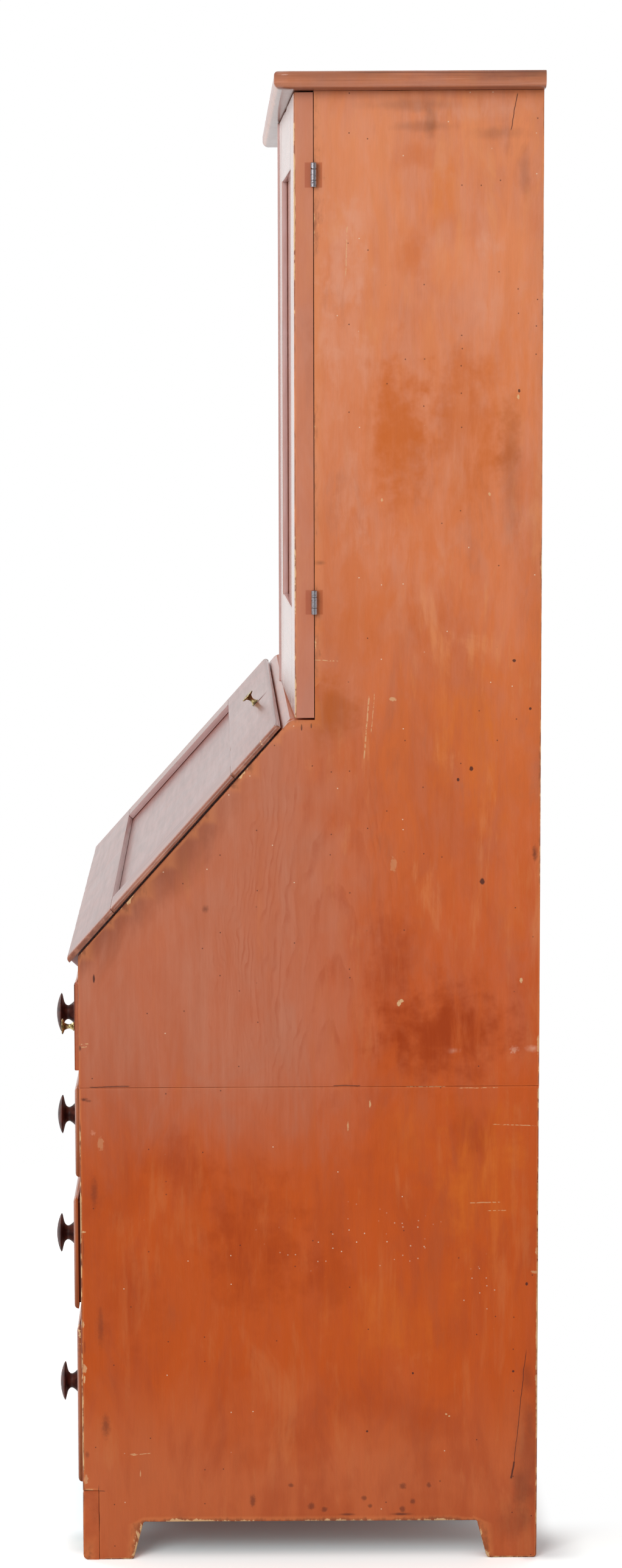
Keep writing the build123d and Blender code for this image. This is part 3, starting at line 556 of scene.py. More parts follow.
class Board:
    """The patterns of one board finish: a grain direction, a seed, and marks on the side's plane."""

    def __init__(self, name, grain, seed, turn=0.0):
        self.finish = Finish(name)
        self.grain, self.seed = GRAINS[grain], seed
        self.place = self.finish.place
        if turn:
            self.place = self.finish.node("ShaderNodeMapping", {}, self.place, None, (turn, 0.0, 0.0))
        self.warp = self.pattern(34.0, 5.5, detail=3.0, squeeze=False)
        self.fray = self.pattern(260.0, 3.5, detail=4.0, squeeze=False)
        self.cloud = self.pattern(12.0, 0.0, detail=8.0, distortion=0.8, squeeze=0.42)
        self.smear = self.pattern(22.0, 8.8, detail=8.0, distortion=1.1, squeeze=0.36)
        self.patch = self.pattern(5.0, 2.0, detail=4.0, distortion=0.8, squeeze=0.5)
        self.brush = self.pattern(38.0, 6.3, detail=6.0, distortion=0.5, squeeze=0.16)
        self.film = self.pattern(60.0, 14.1, detail=8.0, distortion=0.4, squeeze=0.3)
        self.streak = self.pattern(120.0, 3.1, detail=4.0, distortion=0.25, squeeze=0.06)
        self.line = self.pattern(900.0, 7.7)

    def pattern(self, scale, shift, detail=2.0, distortion=0.0, squeeze=None):
        """Noise along the grain; squeeze sets how much it is stretched, and False leaves it round."""
        shares = self.grain
        if squeeze is False:
            shares = (1.0, 1.0, 1.0)
        elif squeeze:
            shares = tuple(squeeze if share < 1 else 1.0 for share in self.grain)
        size = tuple(scale * share for share in shares)
        aside = (self.seed + shift, self.seed * 0.7, self.seed * 1.3 + shift)
        where = self.finish.stretch(size, aside, self.place)
        return self.finish.noise(where, 1.0, detail, GRAIN_ROUGHNESS, distortion)

    def blot(self, y, z, half_width, half_height, soft=0.7, ragged=0.5):
        """1 inside a soft ragged oval on the side's plane, and 0 outside."""
        finish = self.finish
        warp = self.fray if half_width < SMALL_MARK else self.warp
        away = finish.vector("SUBTRACT", finish.place, (0.0, y, z))
        shares = (0.0, 1.0 / half_width, 1.0 / half_height)
        away = finish.vector("MULTIPLY", away, shares)
        distance = finish.vector("LENGTH", away)
        return (distance + (warp - 0.5) * ragged * 2.0).ease(1.0, 1.0 - soft)

    def streak_mark(self, start, end, width, wobble=0.0):
        """1 on a thin line between two places on the side's plane."""
        finish = self.finish
        run = Vector((0.0, end[0] - start[0], end[1] - start[1]))
        away = finish.vector("SUBTRACT", finish.place, (0.0, *start))
        along = finish.along(away, run.normalized())
        across = finish.along(away, run.normalized().cross(ACROSS))
        off = abs(across + (self.warp - 0.5) * wobble)
        middle = abs(along - run.length / 2) / (run.length / 2)
        return off.ease(width, width * 0.3) * middle.ease(1.0, 0.85)

    def specks(self, scale, radius, share, seed):
        """Scattered round specks: a share of the cells of a grid hold one."""
        finish = self.finish
        where = finish.node("ShaderNodeCombineXYZ", {}, finish.y * scale + seed, finish.z * scale + seed)
        distance, chance = finish.cells(where)
        return distance.ease(radius, radius * 0.5) * chance.ease(1.0 - share, 1.0 - share * 0.7)


print("patterns:", ", ".join(GRAINS), "grain, with blots, lines and specks on top")

# %% [markdown]
# Now the stain itself. The colour starts from the height, is clouded and streaked, and gets the haze near
# the desk part and a pale film towards the top. Each layer is one mix over the last, as the real ones
# were laid over each other, so its share can be changed without touching the rest.

# %% Layers of stain
HAZE_Y = (0.0, 0.15)
HAZE_LOW, HAZE_HIGH = (0.50, 0.72), (1.14, 1.40)
FILM_LOW, FILM_HIGH = (0.50, 0.90), (1.05, 1.65)


def stain_layers(board):
    """The colour of the stain, without marks."""
    finish, cloud, patch, brush, streak = board.finish, board.cloud, board.patch, board.brush, board.streak
    height = (finish.z + (patch - 0.5) * 0.3) / TOP_Z
    colour = finish.ramp(height, HEIGHT_STOPS)
    low = finish.z.ease(1.10, 0.70)
    drift = patch * 0.5 + board.smear * 0.3 + brush * 0.2
    colour = finish.mix(drift.ease(0.45, 0.62) * (0.42 + low * 0.12), colour, RED_STAIN)
    mottle = cloud * 0.5 + brush * 0.3 + streak * 0.2
    colour = finish.mix(mottle.ease(0.52, 0.62) * (0.4 - low * 0.22), colour, SMOKE_STAIN)
    colour = finish.mix(mottle.ease(0.48, 0.36) * (0.6 - low * 0.4), colour, GLOW_STAIN)
    front = (finish.y + (patch - 0.5) * 0.3 + (brush - 0.5) * 0.12).ease(*HAZE_Y, 1.0, 0.0)
    around = (finish.z + (cloud - 0.5) * 0.25).ease(*HAZE_LOW) * finish.z.ease(*HAZE_HIGH, 1.0, 0.2)
    colour = finish.mix(front * around * (0.7 + (mottle - 0.5) * 2.0), colour, HAZE_STAIN)
    film = board.smear * 0.5 + board.film * 0.32 + brush * 0.18
    share = 0.05 + finish.z.ease(*FILM_LOW) * 0.12 + finish.z.ease(*FILM_HIGH) * 0.30
    colour = finish.mix((0.45 + film.ease(0.40, 0.64) * 0.7) * share, colour, FILM_STAIN)
    # The last term makes the colour darker towards the front and lighter towards the back.
    shade = 0.81 + brush * 0.14 + streak * 0.16 + board.line * 0.08 + finish.y * 0.17
    return finish.scaled(colour, shade)


print("stain: a haze between", HAZE_LOW[0], "and", HAZE_HIGH[1], "m up")

# %% [markdown]
# Dirt comes on top of the stain: along the slope under the lid's lip, and on the back edge. Where an edge
# is worn, the bare wood shows with soil around it; the worn copies of the boards say where, with an
# attribute that is called worn.

# %% Soil and worn edges
def slope_soil(board):
    """Dirt that gathers along the slope, under the lid's lip."""
    finish = board.finish
    away = finish.vector("SUBTRACT", finish.place, tuple(LID_PLACE))
    depth = LID_SINK - finish.along(away, LID_OUT) + (board.cloud - 0.5) * 0.12
    return depth.ease(0.055, 0.0) * finish.z.ease(1.12, 1.0) * finish.z.ease(0.78, 0.86)


def back_edge_soil(board):
    """A darker band where hands and walls have rubbed the back edge."""
    finish = board.finish
    return (BACK_Y - finish.y + (board.cloud - 0.5) * 0.09 + (board.brush - 0.5) * 0.03).ease(0.022, 0.0)


def worn_edges(board, colour):
    """Bare wood and soil on the edges that the worn copies mark."""
    finish = board.finish
    edge = finish.node("ShaderNodeAttribute", {"attribute_name": "worn"}, output="Fac")
    chip = board.pattern(150.0, 4.4, detail=4.0, squeeze=0.4)
    rub = board.pattern(14.0, 9.4, detail=3.0, squeeze=0.4)
    colour = finish.mix(edge.ease(0.15, 0.7) * 0.3, colour, GLOW_STAIN)
    bare = (edge + (chip - 0.5) * 1.5 + (rub - 0.5) * 2.2).ease(0.98, 1.08)
    soil = (edge + (rub - 0.5) * 1.6 - (chip - 0.5) * 1.2).ease(0.5, 1.15) * 0.5
    colour = finish.mix(soil, colour, SOIL)
    return finish.mix(bare * 0.8, colour, BARE_WOOD), bare


print("soil: on the slope, the back edge and worn edges")

# %% [markdown]
# The fronts of the drawers, the rails and the top board were polished for years. Daylight has dulled
# their stain to a red brown, and the polish is a clear coat over it, which turns pale at a low angle.

# %% Faded fronts
FRONT_TONES = (screen(160, 80, 52), screen(120, 58, 42))
FRONT_AND_UP = Vector((0.0, -0.94, 0.34))
FRONT_POLISH = 0.62
TOP_POLISH = 0.65
POLISH_ROUGH = 0.15


def fine_mottle(board):
    """0 to 1 in fine streaks along the grain, with a little cloud."""
    return (board.film * 0.4 + board.streak * 0.35 + board.smear * 0.25).ease(0.38, 0.64)


def faded_front(board, colour, polish_all=False):
    """The stain on faces to the front, where light and polish have faded it."""
    finish = board.finish
    front = finish.facing(FRONT_AND_UP).ease(0.55, 0.8)
    if polish_all:
        finish.shader.inputs["Coat Weight"].default_value = TOP_POLISH
    else:
        finish.set(Coat_Weight=front * FRONT_POLISH)
    finish.shader.inputs["Coat Roughness"].default_value = POLISH_ROUGH
    tone = finish.mix(fine_mottle(board), *FRONT_TONES)
    return finish.mix(front * 0.8, colour, tone)


print("fronts: polish", FRONT_POLISH, "and on the top board", TOP_POLISH)

# %% [markdown]
# Each wood ends the same way: colour, gloss and a shallow relief of the grain go to the shader. The
# specular level is low, because bare old stain hardly shines.

# %% Stained boards
STAIN_GLOSS = 0.42
RELIEF = 0.00035
RELIEF_STRENGTH = 0.35
SPECULAR = 0.16


def finish_board(board, colour, bare, gloss=STAIN_GLOSS, relief=0.0, fine=1.0):
    """Feeds colour, gloss and relief to the board's shader."""
    finish = board.finish
    rough = gloss + (board.streak - 0.5) * 0.14 + (board.patch - 0.5) * 0.16 + bare * 0.2
    height = board.streak * 0.4 + board.line + relief
    finish.set(Base_Color=colour, Roughness=rough, Normal=finish.bump(height, RELIEF * fine, RELIEF_STRENGTH))
    finish.shader.inputs["Specular IOR Level"].default_value = SPECULAR
    return finish


def stained(name, grain, seed, shade=1.0):
    """A stained board without marks of its own."""
    board = Board(name, grain, seed)
    colour = stain_layers(board)
    if shade < 1:
        colour = board.finish.scaled(colour, shade)
    colour, bare = worn_edges(board, faded_front(board, colour))
    return finish_board(board, colour, bare)


WOODS = {
    "far_side": stained("far_side_wood", "Z", 3.7),
    "rail": stained("rail_wood", "X", 1.9),
    # The drawer fronts' stain is scaled to about half: partly a deeper red brown, partly painted shade on
    # their ends.
    "front": stained("front_wood", "X", 5.2, shade=0.52),
}
print("stained:", ", ".join(WOODS))

# %% [markdown]
# The top board catches the dust: it has gone dark on top, and is scratched along its rounded edge.
# Along its bottom, where it meets the case, a dark line of painted shade stands for the shade under its
# overhang.

# %% Top board
def top_board():
    """Dark stain, darker towards the top, with scratches along the edge."""
    board = Board("top_board_wood", "X", 6.6)
    finish = board.finish
    colour = finish.scaled(stain_layers(board), 0.78)
    lines = finish.noise(finish.stretch((70.0, 5.0, 420.0)), 1.0, 4.0)
    dust = finish.noise(finish.stretch((14.0, 9.0, 60.0)), 1.0, 5.0)
    dark = (finish.z + (dust - 0.5) * 0.03).ease(CORNICE_LOW.z + 0.006, CORNICE_HIGH.z)
    dark = dark * (1.0 + finish.y.ease(0.16, 0.32) * 0.8)
    colour = finish.mix(0.3, colour, HAZE_STAIN)
    colour = finish.mix(dark * 0.32 + lines.ease(0.52, 0.7) * 0.3, colour, SOIL)
    colour = finish.mix(lines.ease(0.42, 0.3) * 0.3, colour, FILM_STAIN)
    # Painted shade: a dark line along the bottom, under the overhang.
    colour = finish.mix(finish.z.ease(CORNICE_LOW.z + 0.003, CORNICE_LOW.z + 0.001) * 0.5, colour, SOIL)
    colour, bare = worn_edges(board, faded_front(board, colour, True))
    return finish_board(board, colour, bare)


WOODS["cornice"] = top_board()
print("top board:", len(WOODS["cornice"].tree.nodes), "nodes")

# %% [markdown]
# The right end is the side that the photograph shows, so its marks are placed one by one, as distances
# in metres from the middle of the depth and from the floor. First the large soft ones: dark smudges,
# pale clouds of dust, and patches where the stain is deeper or more golden. A row holds the place in Y
# and Z, the half width and half height, and how strong the mark is.

# %% Soft marks on the right end
SMUDGES = (
    (0.183, 1.962, 0.012, 0.036, 0.28), (0.176, 1.957, 0.06, 0.01, 0.22), (0.16, 1.985, 0.09, 0.012, 0.22),
    (0.035, 1.38, 0.012, 0.005, 0.45), (0.307, 1.896, 0.011, 0.042, 0.22), (0.27, 1.948, 0.05, 0.014, 0.22),
    (0.29, 1.5, 0.022, 0.15, 0.22), (-0.121, 0.911, 0.006, 0.007, 0.45), (0.325, 0.985, 0.005, 0.014, 0.6),
    (0.318, 0.255, 0.012, 0.03, 0.26), (0.322, 0.19, 0.01, 0.03, 0.22), (0.31, 0.1, 0.02, 0.04, 0.22),
    (-0.262, 0.19, 0.008, 0.022, 0.45), (-0.275, 0.52, 0.007, 0.03, 0.35), (-0.268, 0.33, 0.006, 0.04, 0.3),
    (0.32, 0.15, 0.03, 0.13, 0.26), (0.05, 1.175, 0.055, 0.06, 0.2), (0.3, 0.05, 0.035, 0.04, 0.22),
    (-0.293, 0.72, 0.0024, 0.0057, 0.8), (-0.288, 0.649, 0.0073, 0.0033, 0.75),
    (-0.282, 0.647, 0.0065, 0.0024, 0.5), (-0.293, 0.419, 0.0024, 0.0065, 0.6),
    (-0.294, 0.106, 0.0024, 0.0073, 0.6), (-0.292, 0.072, 0.0033, 0.0065, 0.7),
    (-0.291, 0.302, 0.0033, 0.0147, 0.3), (-0.291, 0.439, 0.002, 0.0326, 0.3),
    (-0.288, 0.15, 0.0041, 0.0065, 0.35), (0.071, 0.063, 0.016, 0.0028, 0.6),
    (0.144, 0.063, 0.018, 0.003, 0.7),
)
CLOUDS = (
    (0.069, 1.774, 0.037, 0.106, 0.6), (0.045, 1.661, 0.024, 0.098, 0.5), (0.101, 1.653, 0.02, 0.049, 0.35),
    (0.263, 1.801, 0.029, 0.024, 0.6), (0.259, 1.716, 0.033, 0.049, 0.35), (0.15, 1.352, 0.082, 0.106, 0.2),
    (0.297, 1.425, 0.033, 0.049, 0.25), (0.215, 1.507, 0.024, 0.049, 0.35),
    (0.077, 1.475, 0.033, 0.098, 0.3), (0.23, 1.975, 0.11, 0.025, 0.45), (0.216, 0.714, 0.015, 0.007, 1.0),
    (0.298, 0.715, 0.008, 0.007, 1.0), (0.323, 0.717, 0.011, 0.008, 1.0),
    (-0.276, 0.602, 0.0041, 0.0049, 0.5),
)
PATCHES = (
    (0.158, 1.789, 0.037, 0.049, 0.45), (0.142, 1.556, 0.06, 0.147, 0.85), (0.23, 1.56, 0.07, 0.15, 0.7),
    (0.288, 1.539, 0.02, 0.057, 0.55), (0.166, 1.917, 0.049, 0.024, 0.35),
    (0.069, 1.279, 0.049, 0.065, 0.35), (0.045, 1.185, 0.055, 0.06, 0.95),
    (0.126, 1.311, 0.098, 0.082, 0.3), (0.205, 0.735, 0.13, 0.09, 0.9), (0.24, 0.6, 0.05, 0.05, 0.45),
    (0.05, 0.4, 0.05, 0.07, 0.4), (-0.224, 0.365, 0.061, 0.092, 0.4), (0.125, 0.83, 0.045, 0.11, 0.5),
    (-0.06, 0.44, 0.09, 0.13, 0.62), (-0.16, 0.56, 0.06, 0.06, 0.45),
)
GOLDEN = (
    (0.2, 1.865, 0.07, 0.06, 0.6), (0.295, 1.64, 0.05, 0.14, 0.4), (0.24, 1.12, 0.08, 0.15, 0.6),
    (0.29, 0.9, 0.035, 0.09, 0.4), (0.25, 0.53, 0.075, 0.15, 0.62), (0.15, 0.6, 0.05, 0.07, 0.4),
    (0.13, 0.34, 0.11, 0.09, 0.42),
)
print("soft marks:", sum(map(len, (SMUDGES, CLOUDS, PATCHES, GOLDEN))))

# %% [markdown]
# Then the small ones: round spots of an old spill, dents and pale chips are ovals too, while cracks,
# scratches and the joint with the base board are thin lines from one place to another, with a width.

# %% Small marks on the right end
SKIRT_LOW, SKIRT_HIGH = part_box("base_skirt")
STAIN_SPOTS = (
    (-0.06, 0.083, 0.005, 0.012), (-0.007, 0.105, 0.005, 0.004), (0.021, 0.075, 0.007, 0.006),
    (0.039, 0.07, 0.006, 0.005), (0.094, 0.086, 0.005, 0.005), (0.102, 0.075, 0.004, 0.004),
    (0.147, 0.103, 0.006, 0.006), (0.147, 0.07, 0.006, 0.006), (0.161, 0.081, 0.005, 0.005),
    (0.183, 0.104, 0.004, 0.005),
)
DENTS = (
    (0.239, 1.101, 0.003, 0.004), (0.221, 1.086, 0.0022, 0.003), (0.296, 1.247, 0.003, 0.0025),
    (0.254, 0.947, 0.004, 0.005), (0.318, 1.182, 0.0022, 0.0022), (0.301, 1.608, 0.0018, 0.003),
    (-0.273, 0.816, 0.0016, 0.007), (0.01, 1.158, 0.0012, 0.005), (0.023, 1.16, 0.0012, 0.004),
    (0.317, 0.388, 0.0022, 0.003), (0.299, 0.265, 0.002, 0.002), (0.161, 0.263, 0.0018, 0.002),
    (0.098, 0.181, 0.0018, 0.0018),
)
CHIPS = (
    (0.133, 1.196, 0.005, 0.003, 0.55), (0.134, 0.971, 0.005, 0.012, 0.24),
    (0.141, 0.78, 0.003, 0.0045, 0.8), (0.145, 0.783, 0.004, 0.0025, 0.8),
    (0.331, 0.722, 0.002, 0.014, 0.75), (0.331, 0.434, 0.0025, 0.006, 0.55),
    (0.329, 0.405, 0.007, 0.0025, 0.45), (0.331, 0.272, 0.002, 0.008, 0.5),
    (0.331, 0.255, 0.003, 0.005, 0.45), (0.307, 0.811, 0.0024, 0.004, 0.8),
    (0.3, 1.6, 0.0018, 0.0034, 0.75), (-0.266, 0.587, 0.005, 0.01, 0.24),
    (-0.224, 0.15, 0.005, 0.0016, 0.5), (0.102, 0.64, 0.0014, 0.006, 0.7),
    (0.072, 0.61, 0.0014, 0.008, 0.5), (0.118, 1.464, 0.0016, 0.003, 0.6),
    (0.262, 1.471, 0.0016, 0.003, 0.6), (-0.291, 0.464, 0.0041, 0.0014, 0.8),
    (-0.292, 0.334, 0.0021, 0.0065, 0.7), (-0.291, 0.272, 0.0041, 0.0065, 0.6),
    (-0.291, 0.256, 0.0016, 0.0057, 0.8), (-0.294, 0.226, 0.002, 0.0098, 0.6),
    (-0.294, 0.181, 0.0013, 0.0204, 0.75), (-0.294, 0.138, 0.0018, 0.0179, 0.8),
    (-0.29, 0.115, 0.0033, 0.0081, 0.4), (-0.286, 0.1, 0.0065, 0.0015, 0.5),
    (-0.288, 0.086, 0.0024, 0.0041, 0.5), (-0.215, 0.123, 0.001, 0.0057, 0.45),
    (0.2065, 0.205, 0.0018, 0.0014, 0.9), (0.211, 0.202, 0.0012, 0.0012, 0.9),
)
CRACKS = (
    ((0.298, 2.001), (0.288, 1.95), 0.0008), ((0.317, 0.299), (0.299, 0.118), 0.0006),
    ((0.301, 0.138), (0.297, 0.112), 0.0018), ((-0.282, 0.6665), (-0.224, 0.6665), 0.0008),
    ((SKIRT_HIGH.y, -0.05), (SKIRT_HIGH.y, SKIRT_HIGH.z + 0.01), 0.0009),
    ((SKIRT_LOW.y - 0.01, SKIRT_HIGH.z), (SKIRT_HIGH.y + 0.01, SKIRT_HIGH.z), 0.0007),
    ((0.051, 0.6662), (0.09, 0.6662), 0.0008),
)
SCRATCHES = (
    ((0.101, 1.204), (0.094, 1.112), 0.0014), ((0.108, 1.206), (0.104, 1.15), 0.0008),
    ((0.236, 0.502), (0.281, 0.503), 0.001), ((0.262, 0.491), (0.289, 0.492), 0.0008),
    ((0.02, 1.25), (0.06, 1.247), 0.001), ((0.268, 0.612), (0.33, 0.609), 0.0009),
    ((-0.232, 0.147), (-0.2, 0.152), 0.0008), ((0.072, 1.83), (0.07, 1.76), 0.0008),
    ((0.15, 0.6645), (0.206, 0.6643), 0.0009), ((0.222, 0.662), (0.278, 0.6625), 0.0008),
    ((-0.292, 0.7255), (-0.281, 0.726), 0.001), ((-0.291, 0.7215), (-0.283, 0.722), 0.001),
)
print("small marks:", sum(map(len, (STAIN_SPOTS, DENTS, CHIPS, CRACKS, SCRATCHES))))

# %% [markdown]
# Where a board is sawn through the side of the rings, they show as tall nested arches. Their outline is
# the level line of a simple sum: the height plus the square of the distance from the arches' middle.

# %% Arched grain
ARCH_Y = 0.050
ARCH_BEND = 62.0
ARCH_PITCH = 0.095
ARCH_SHARPNESS = 0.85


def arched_grain(board):
    """Thin dark lines in nested arches around the middle of the desk part."""
    finish = board.finish
    wander = board.pattern(9.0, 1.1, detail=4.0, squeeze=0.4)
    off = finish.y - ARCH_Y + (wander - 0.5) * 0.09
    rise = finish.z + off * off * ARCH_BEND + (board.brush - 0.5) * 0.07
    rings = (rise / ARCH_PITCH).fraction()
    lines = rings.ease(0.45, ARCH_SHARPNESS) * rings.ease(1.0, 0.92) * board.film.ease(0.35, 0.6)
    inside = board.blot(0.02, 0.88, 0.17, 0.36, soft=0.8, ragged=0.6)
    return lines * inside * board.brush.ease(0.35, 0.6, 0.3, 1.0)


print("arched grain: rings", ARCH_PITCH, "m apart")

# %% [markdown]
# Beside each door hinge the stain is darker, where an older and larger hinge kept the light away. The
# patch could be painted, but two distances, one across and one up, give the same small rectangle and
# stay sharp at any size.

# %% Hinge patches
PATCH_REACH = (0.0105, 0.0155)
PATCH_EDGE = 0.002


def hinge_patches(finish):
    """1 on a small rectangle round each hinge of the right door."""
    patches = []
    for place in DOOR_PINS[-2:]:
        across = abs(finish.y - place.y).ease(PATCH_REACH[0] + PATCH_EDGE, PATCH_REACH[0])
        patches.append(across * abs(finish.z - place.z).ease(PATCH_REACH[1] + PATCH_EDGE, PATCH_REACH[1]))
    return patches[0].most(patches[1])


print("hinge patches: at", [round(place.z, 3) for place in DOOR_PINS[-2:]], "m up")

# %% [markdown]
# The right end takes all these marks over its stain, one layer after the other. A painted picture could
# hold them too, but as ovals and lines they stay sharp, and each can be moved by itself. Marks of one
# kind join as soon as they are made, because one material can only hold so many values at once.

# %% The right end
def near_side():
    """The right end, with its own marks."""
    board = Board("near_side_wood", "Z", 0.0)
    finish = board.finish
    colour = stain_layers(board)
    rings = arched_grain(board)
    colour = finish.mix(rings * 0.34, colour, RED_STAIN)
    colour = finish.mix(slope_soil(board) * 0.38, colour, SOIL)
    colour = finish.mix(back_edge_soil(board) * 0.06, colour, SOIL)
    for y, z, wide, tall, share in CLOUDS:
        cloud = board.blot(y, z, wide, tall, 0.9, 1.2) * board.film.ease(0.3, 0.6)
        colour = finish.mix(cloud * share, colour, FILM_STAIN)
    for y, z, wide, tall, share in PATCHES:
        patch = board.blot(y, z, wide, tall, 0.95, 0.8) * board.brush.ease(0.2, 0.6)
        colour = finish.mix(patch * share, colour, AMBER_STAIN if z > 1.0 else RED_STAIN)
    for y, z, wide, tall, share in GOLDEN:
        patch = board.blot(y, z, wide, tall, 0.95, 0.8) * board.brush.ease(0.7, 0.3)
        colour = finish.mix(patch * share, colour, GOLD_STAIN)
    colour = finish.mix(hinge_patches(finish) * 0.55, colour, RED_STAIN)
    for y, z, wide, tall, share in SMUDGES:
        colour = finish.mix(board.blot(y, z, wide, tall, 0.9) * share, colour, SOIL)
    spots = board.blot(*STAIN_SPOTS[0])
    for spot in STAIN_SPOTS[1:]:
        spots = spots.most(board.blot(*spot))
    colour = finish.mix(spots * 0.5, colour, SOIL)
    pale = board.fray * 0.0
    for y, z, wide, tall, share in CHIPS:
        pale = pale.most(board.blot(y, z, wide, tall, 0.35, 0.9) * share)
    broken = board.fray.ease(0.40, 0.54)
    for scratch in SCRATCHES:
        pale = pale.most(board.streak_mark(*scratch, 0.003) * broken * 0.6)
    colour = finish.mix(pale, colour, BARE_WOOD)
    dents = board.blot(*DENTS[0], 0.4, 0.3)
    for dent in DENTS[1:]:
        dents = dents.most(board.blot(*dent, 0.4, 0.3))
    for start, end, width in CRACKS:
        dents = dents.most(board.streak_mark(start, end, width, 0.004))
    colour = finish.mix(dents * 0.85, colour, SOIL)
    flecks = board.specks(34.0, 0.036, 0.05, 3.0)
    dense = board.blot(0.09, 0.45, 0.15, 0.06, 0.8) + board.blot(0.25, 0.38, 0.06, 0.06, 0.8) * 0.7
    flecks = flecks.most(board.specks(95.0, 0.11, 0.20, 8.0) * dense)
    colour = finish.mix(flecks * 0.8, colour, FLECK)
    colour = finish.mix(board.specks(40.0, 0.05, 0.09, 5.0) * 0.7, colour, SOIL)
    colour, bare = worn_edges(board, faded_front(board, colour))
    relief = rings * -0.4 - dents * 3.0 - pale * 1.2
    return finish_board(board, colour, bare, relief=relief)


WOODS["near_side"] = near_side()
print("near side:", len(WOODS["near_side"].tree.nodes), "nodes")

# %% [markdown]
# Doors and lid are seen almost edge-on. They have the same stain, bleached to a dull pink brown, and a
# coat of old polish. The lid's tones are darker: painted shade, which offsets the extra light on its
# tilted face. The polish turns them pale wherever they are seen at a low angle, and their faces that
# look towards the ends or up and down get a pale painted light.

# %% Doors and lid
DOOR_TONES = (screen(168, 97, 72), screen(138, 76, 58))
# Darker than the doors' tones: painted shade against the extra light on the lid's tilted face.
LID_SHADED_TONES = (screen(142, 76, 62), screen(114, 60, 50))
LID_INSIDE = screen(176, 92, 54)
# A pale painted light for faces of the doors and lid that look towards the ends or up and down.
RECESS_PAINTED_LIGHT = screen(228, 198, 196)
LID_EDGE = screen(106, 52, 42)
END_FROM_TO = (HALF_WIDTH - 0.006, HALF_WIDTH - 0.003)
DOOR_POLISH = 0.92
LID_POLISH = 0.48
POLISHED_GLOSS = 0.36


def polished(name, grain, seed, tones, polish, turn=0.0, edge=None):
    """A faded board under old polish, with painted light on its faces that look towards the ends or up and
    down, whose ends keep the stain of the case or have a tone of their own.
    """
    board = Board(name, grain, seed, turn)
    finish = board.finish
    colour = finish.mix(fine_mottle(board), *tones)
    shade = 0.84 + board.streak * 0.24 + board.line * 0.1
    colour = finish.scaled(colour, shade)
    across, upward = finish.facing(ACROSS), finish.facing(LID_UP if edge else UP)
    # Painted light: faces that look towards the ends, or up and down, are lifted towards a pale tone.
    recess_light = abs(across).ease(0.6, 0.9).most(abs(upward).ease(0.8, 0.95)) * (0.5 + board.film * 0.8)
    colour = finish.mix(recess_light * 0.8, colour, RECESS_PAINTED_LIGHT)
    if edge:
        ends = finish.mix(board.film.ease(0.45, 0.65) * 0.28, edge, FILM_STAIN)
    else:
        ends = finish.mix(0.3, stain_layers(board), HAZE_STAIN)
        ends = finish.mix(hinge_patches(finish) * 0.5, ends, RED_STAIN)
    colour = finish.mix(abs(finish.x).ease(*END_FROM_TO) * 0.95, colour, ends)
    if edge:
        inner = finish.facing(-LID_OUT).ease(0.7, 0.9)
        colour = finish.mix(inner * (0.5 + board.film * 0.8), colour, LID_INSIDE)
    colour, bare = worn_edges(board, colour)
    finish_board(board, colour, bare, POLISHED_GLOSS, fine=0.15)
    finish.shader.inputs["Coat Weight"].default_value = polish
    finish.shader.inputs["Coat Roughness"].default_value = POLISH_ROUGH
    return finish


WOODS["door"] = polished("door_wood", "Z", 8.1, DOOR_TONES, DOOR_POLISH)
WOODS["door_rail"] = polished("door_rail_wood", "X", 9.4, DOOR_TONES, DOOR_POLISH)
WOODS["lid"] = polished("lid_wood", "X", 11.3, LID_SHADED_TONES, LID_POLISH, edge=LID_EDGE)
WOODS["lid_stile"] = polished("lid_stile_wood", "Y", 12.3, LID_SHADED_TONES, LID_POLISH, -LID_TILT, LID_EDGE)
print("polished: doors and lid")

# %% [markdown]
# Inside the wood was never stained. Age alone has browned it. The lid's supports are bare too, except
# for their front ends, which were stained with the case.

# %% Unstained boards
INSIDE_TONE = screen(206, 162, 112)
INSIDE_SHADE = screen(160, 112, 68)
INSIDE_GLOSS, SUPPORT_GLOSS, BACK_GLOSS = 0.6, 0.55, 0.65


def unstained(name, grain, seed):
    """A bare board, browned by age."""
    board = Board(name, grain, seed)
    finish = board.finish
    tone = (board.streak * 0.6 + board.line * 0.25 + board.cloud * 0.4).ease(0.4, 0.9)
    colour = finish.mix(tone, INSIDE_SHADE, INSIDE_TONE)
    colour, bare = worn_edges(board, colour)
    return finish_board(board, colour, bare, INSIDE_GLOSS)


def support_wood():
    """The lid's supports: bare boards with a stained front end."""
    board = Board("support_wood", "Y", 7.0)
    finish = board.finish
    tone = (board.streak * 0.6 + board.cloud * 0.5).ease(0.4, 0.9)
    colour = finish.mix(tone, INSIDE_SHADE, INSIDE_TONE)
    end = finish.y.ease(FRONT_Y + 0.001, FRONT_Y - 0.001)
    colour = finish.mix(end, colour, faded_front(board, stain_layers(board)))
    colour, bare = worn_edges(board, colour)
    return finish_board(board, colour, bare, SUPPORT_GLOSS)


WOODS["inside"] = unstained("inside_wood", "X", 2.0)
WOODS["box"] = unstained("box_wood", "Y", 6.0)
WOODS["support"] = support_wood()
print("unstained: inside, drawer boxes and supports")

# %% [markdown]
# The boards at the back were only sawn. They are knotty, with rings around the knots, and streaked by
# the weather. A real knot lies flush in its board, so it needs no shape: the knots are cells of a flat
# pattern, of which only some hold one.

# %% Back boards
BACK_TONE = screen(206, 152, 100)
BACK_SHADE = screen(152, 98, 58)
KNOT_TONE = screen(86, 50, 30)
KNOT_RINGS = 26.0


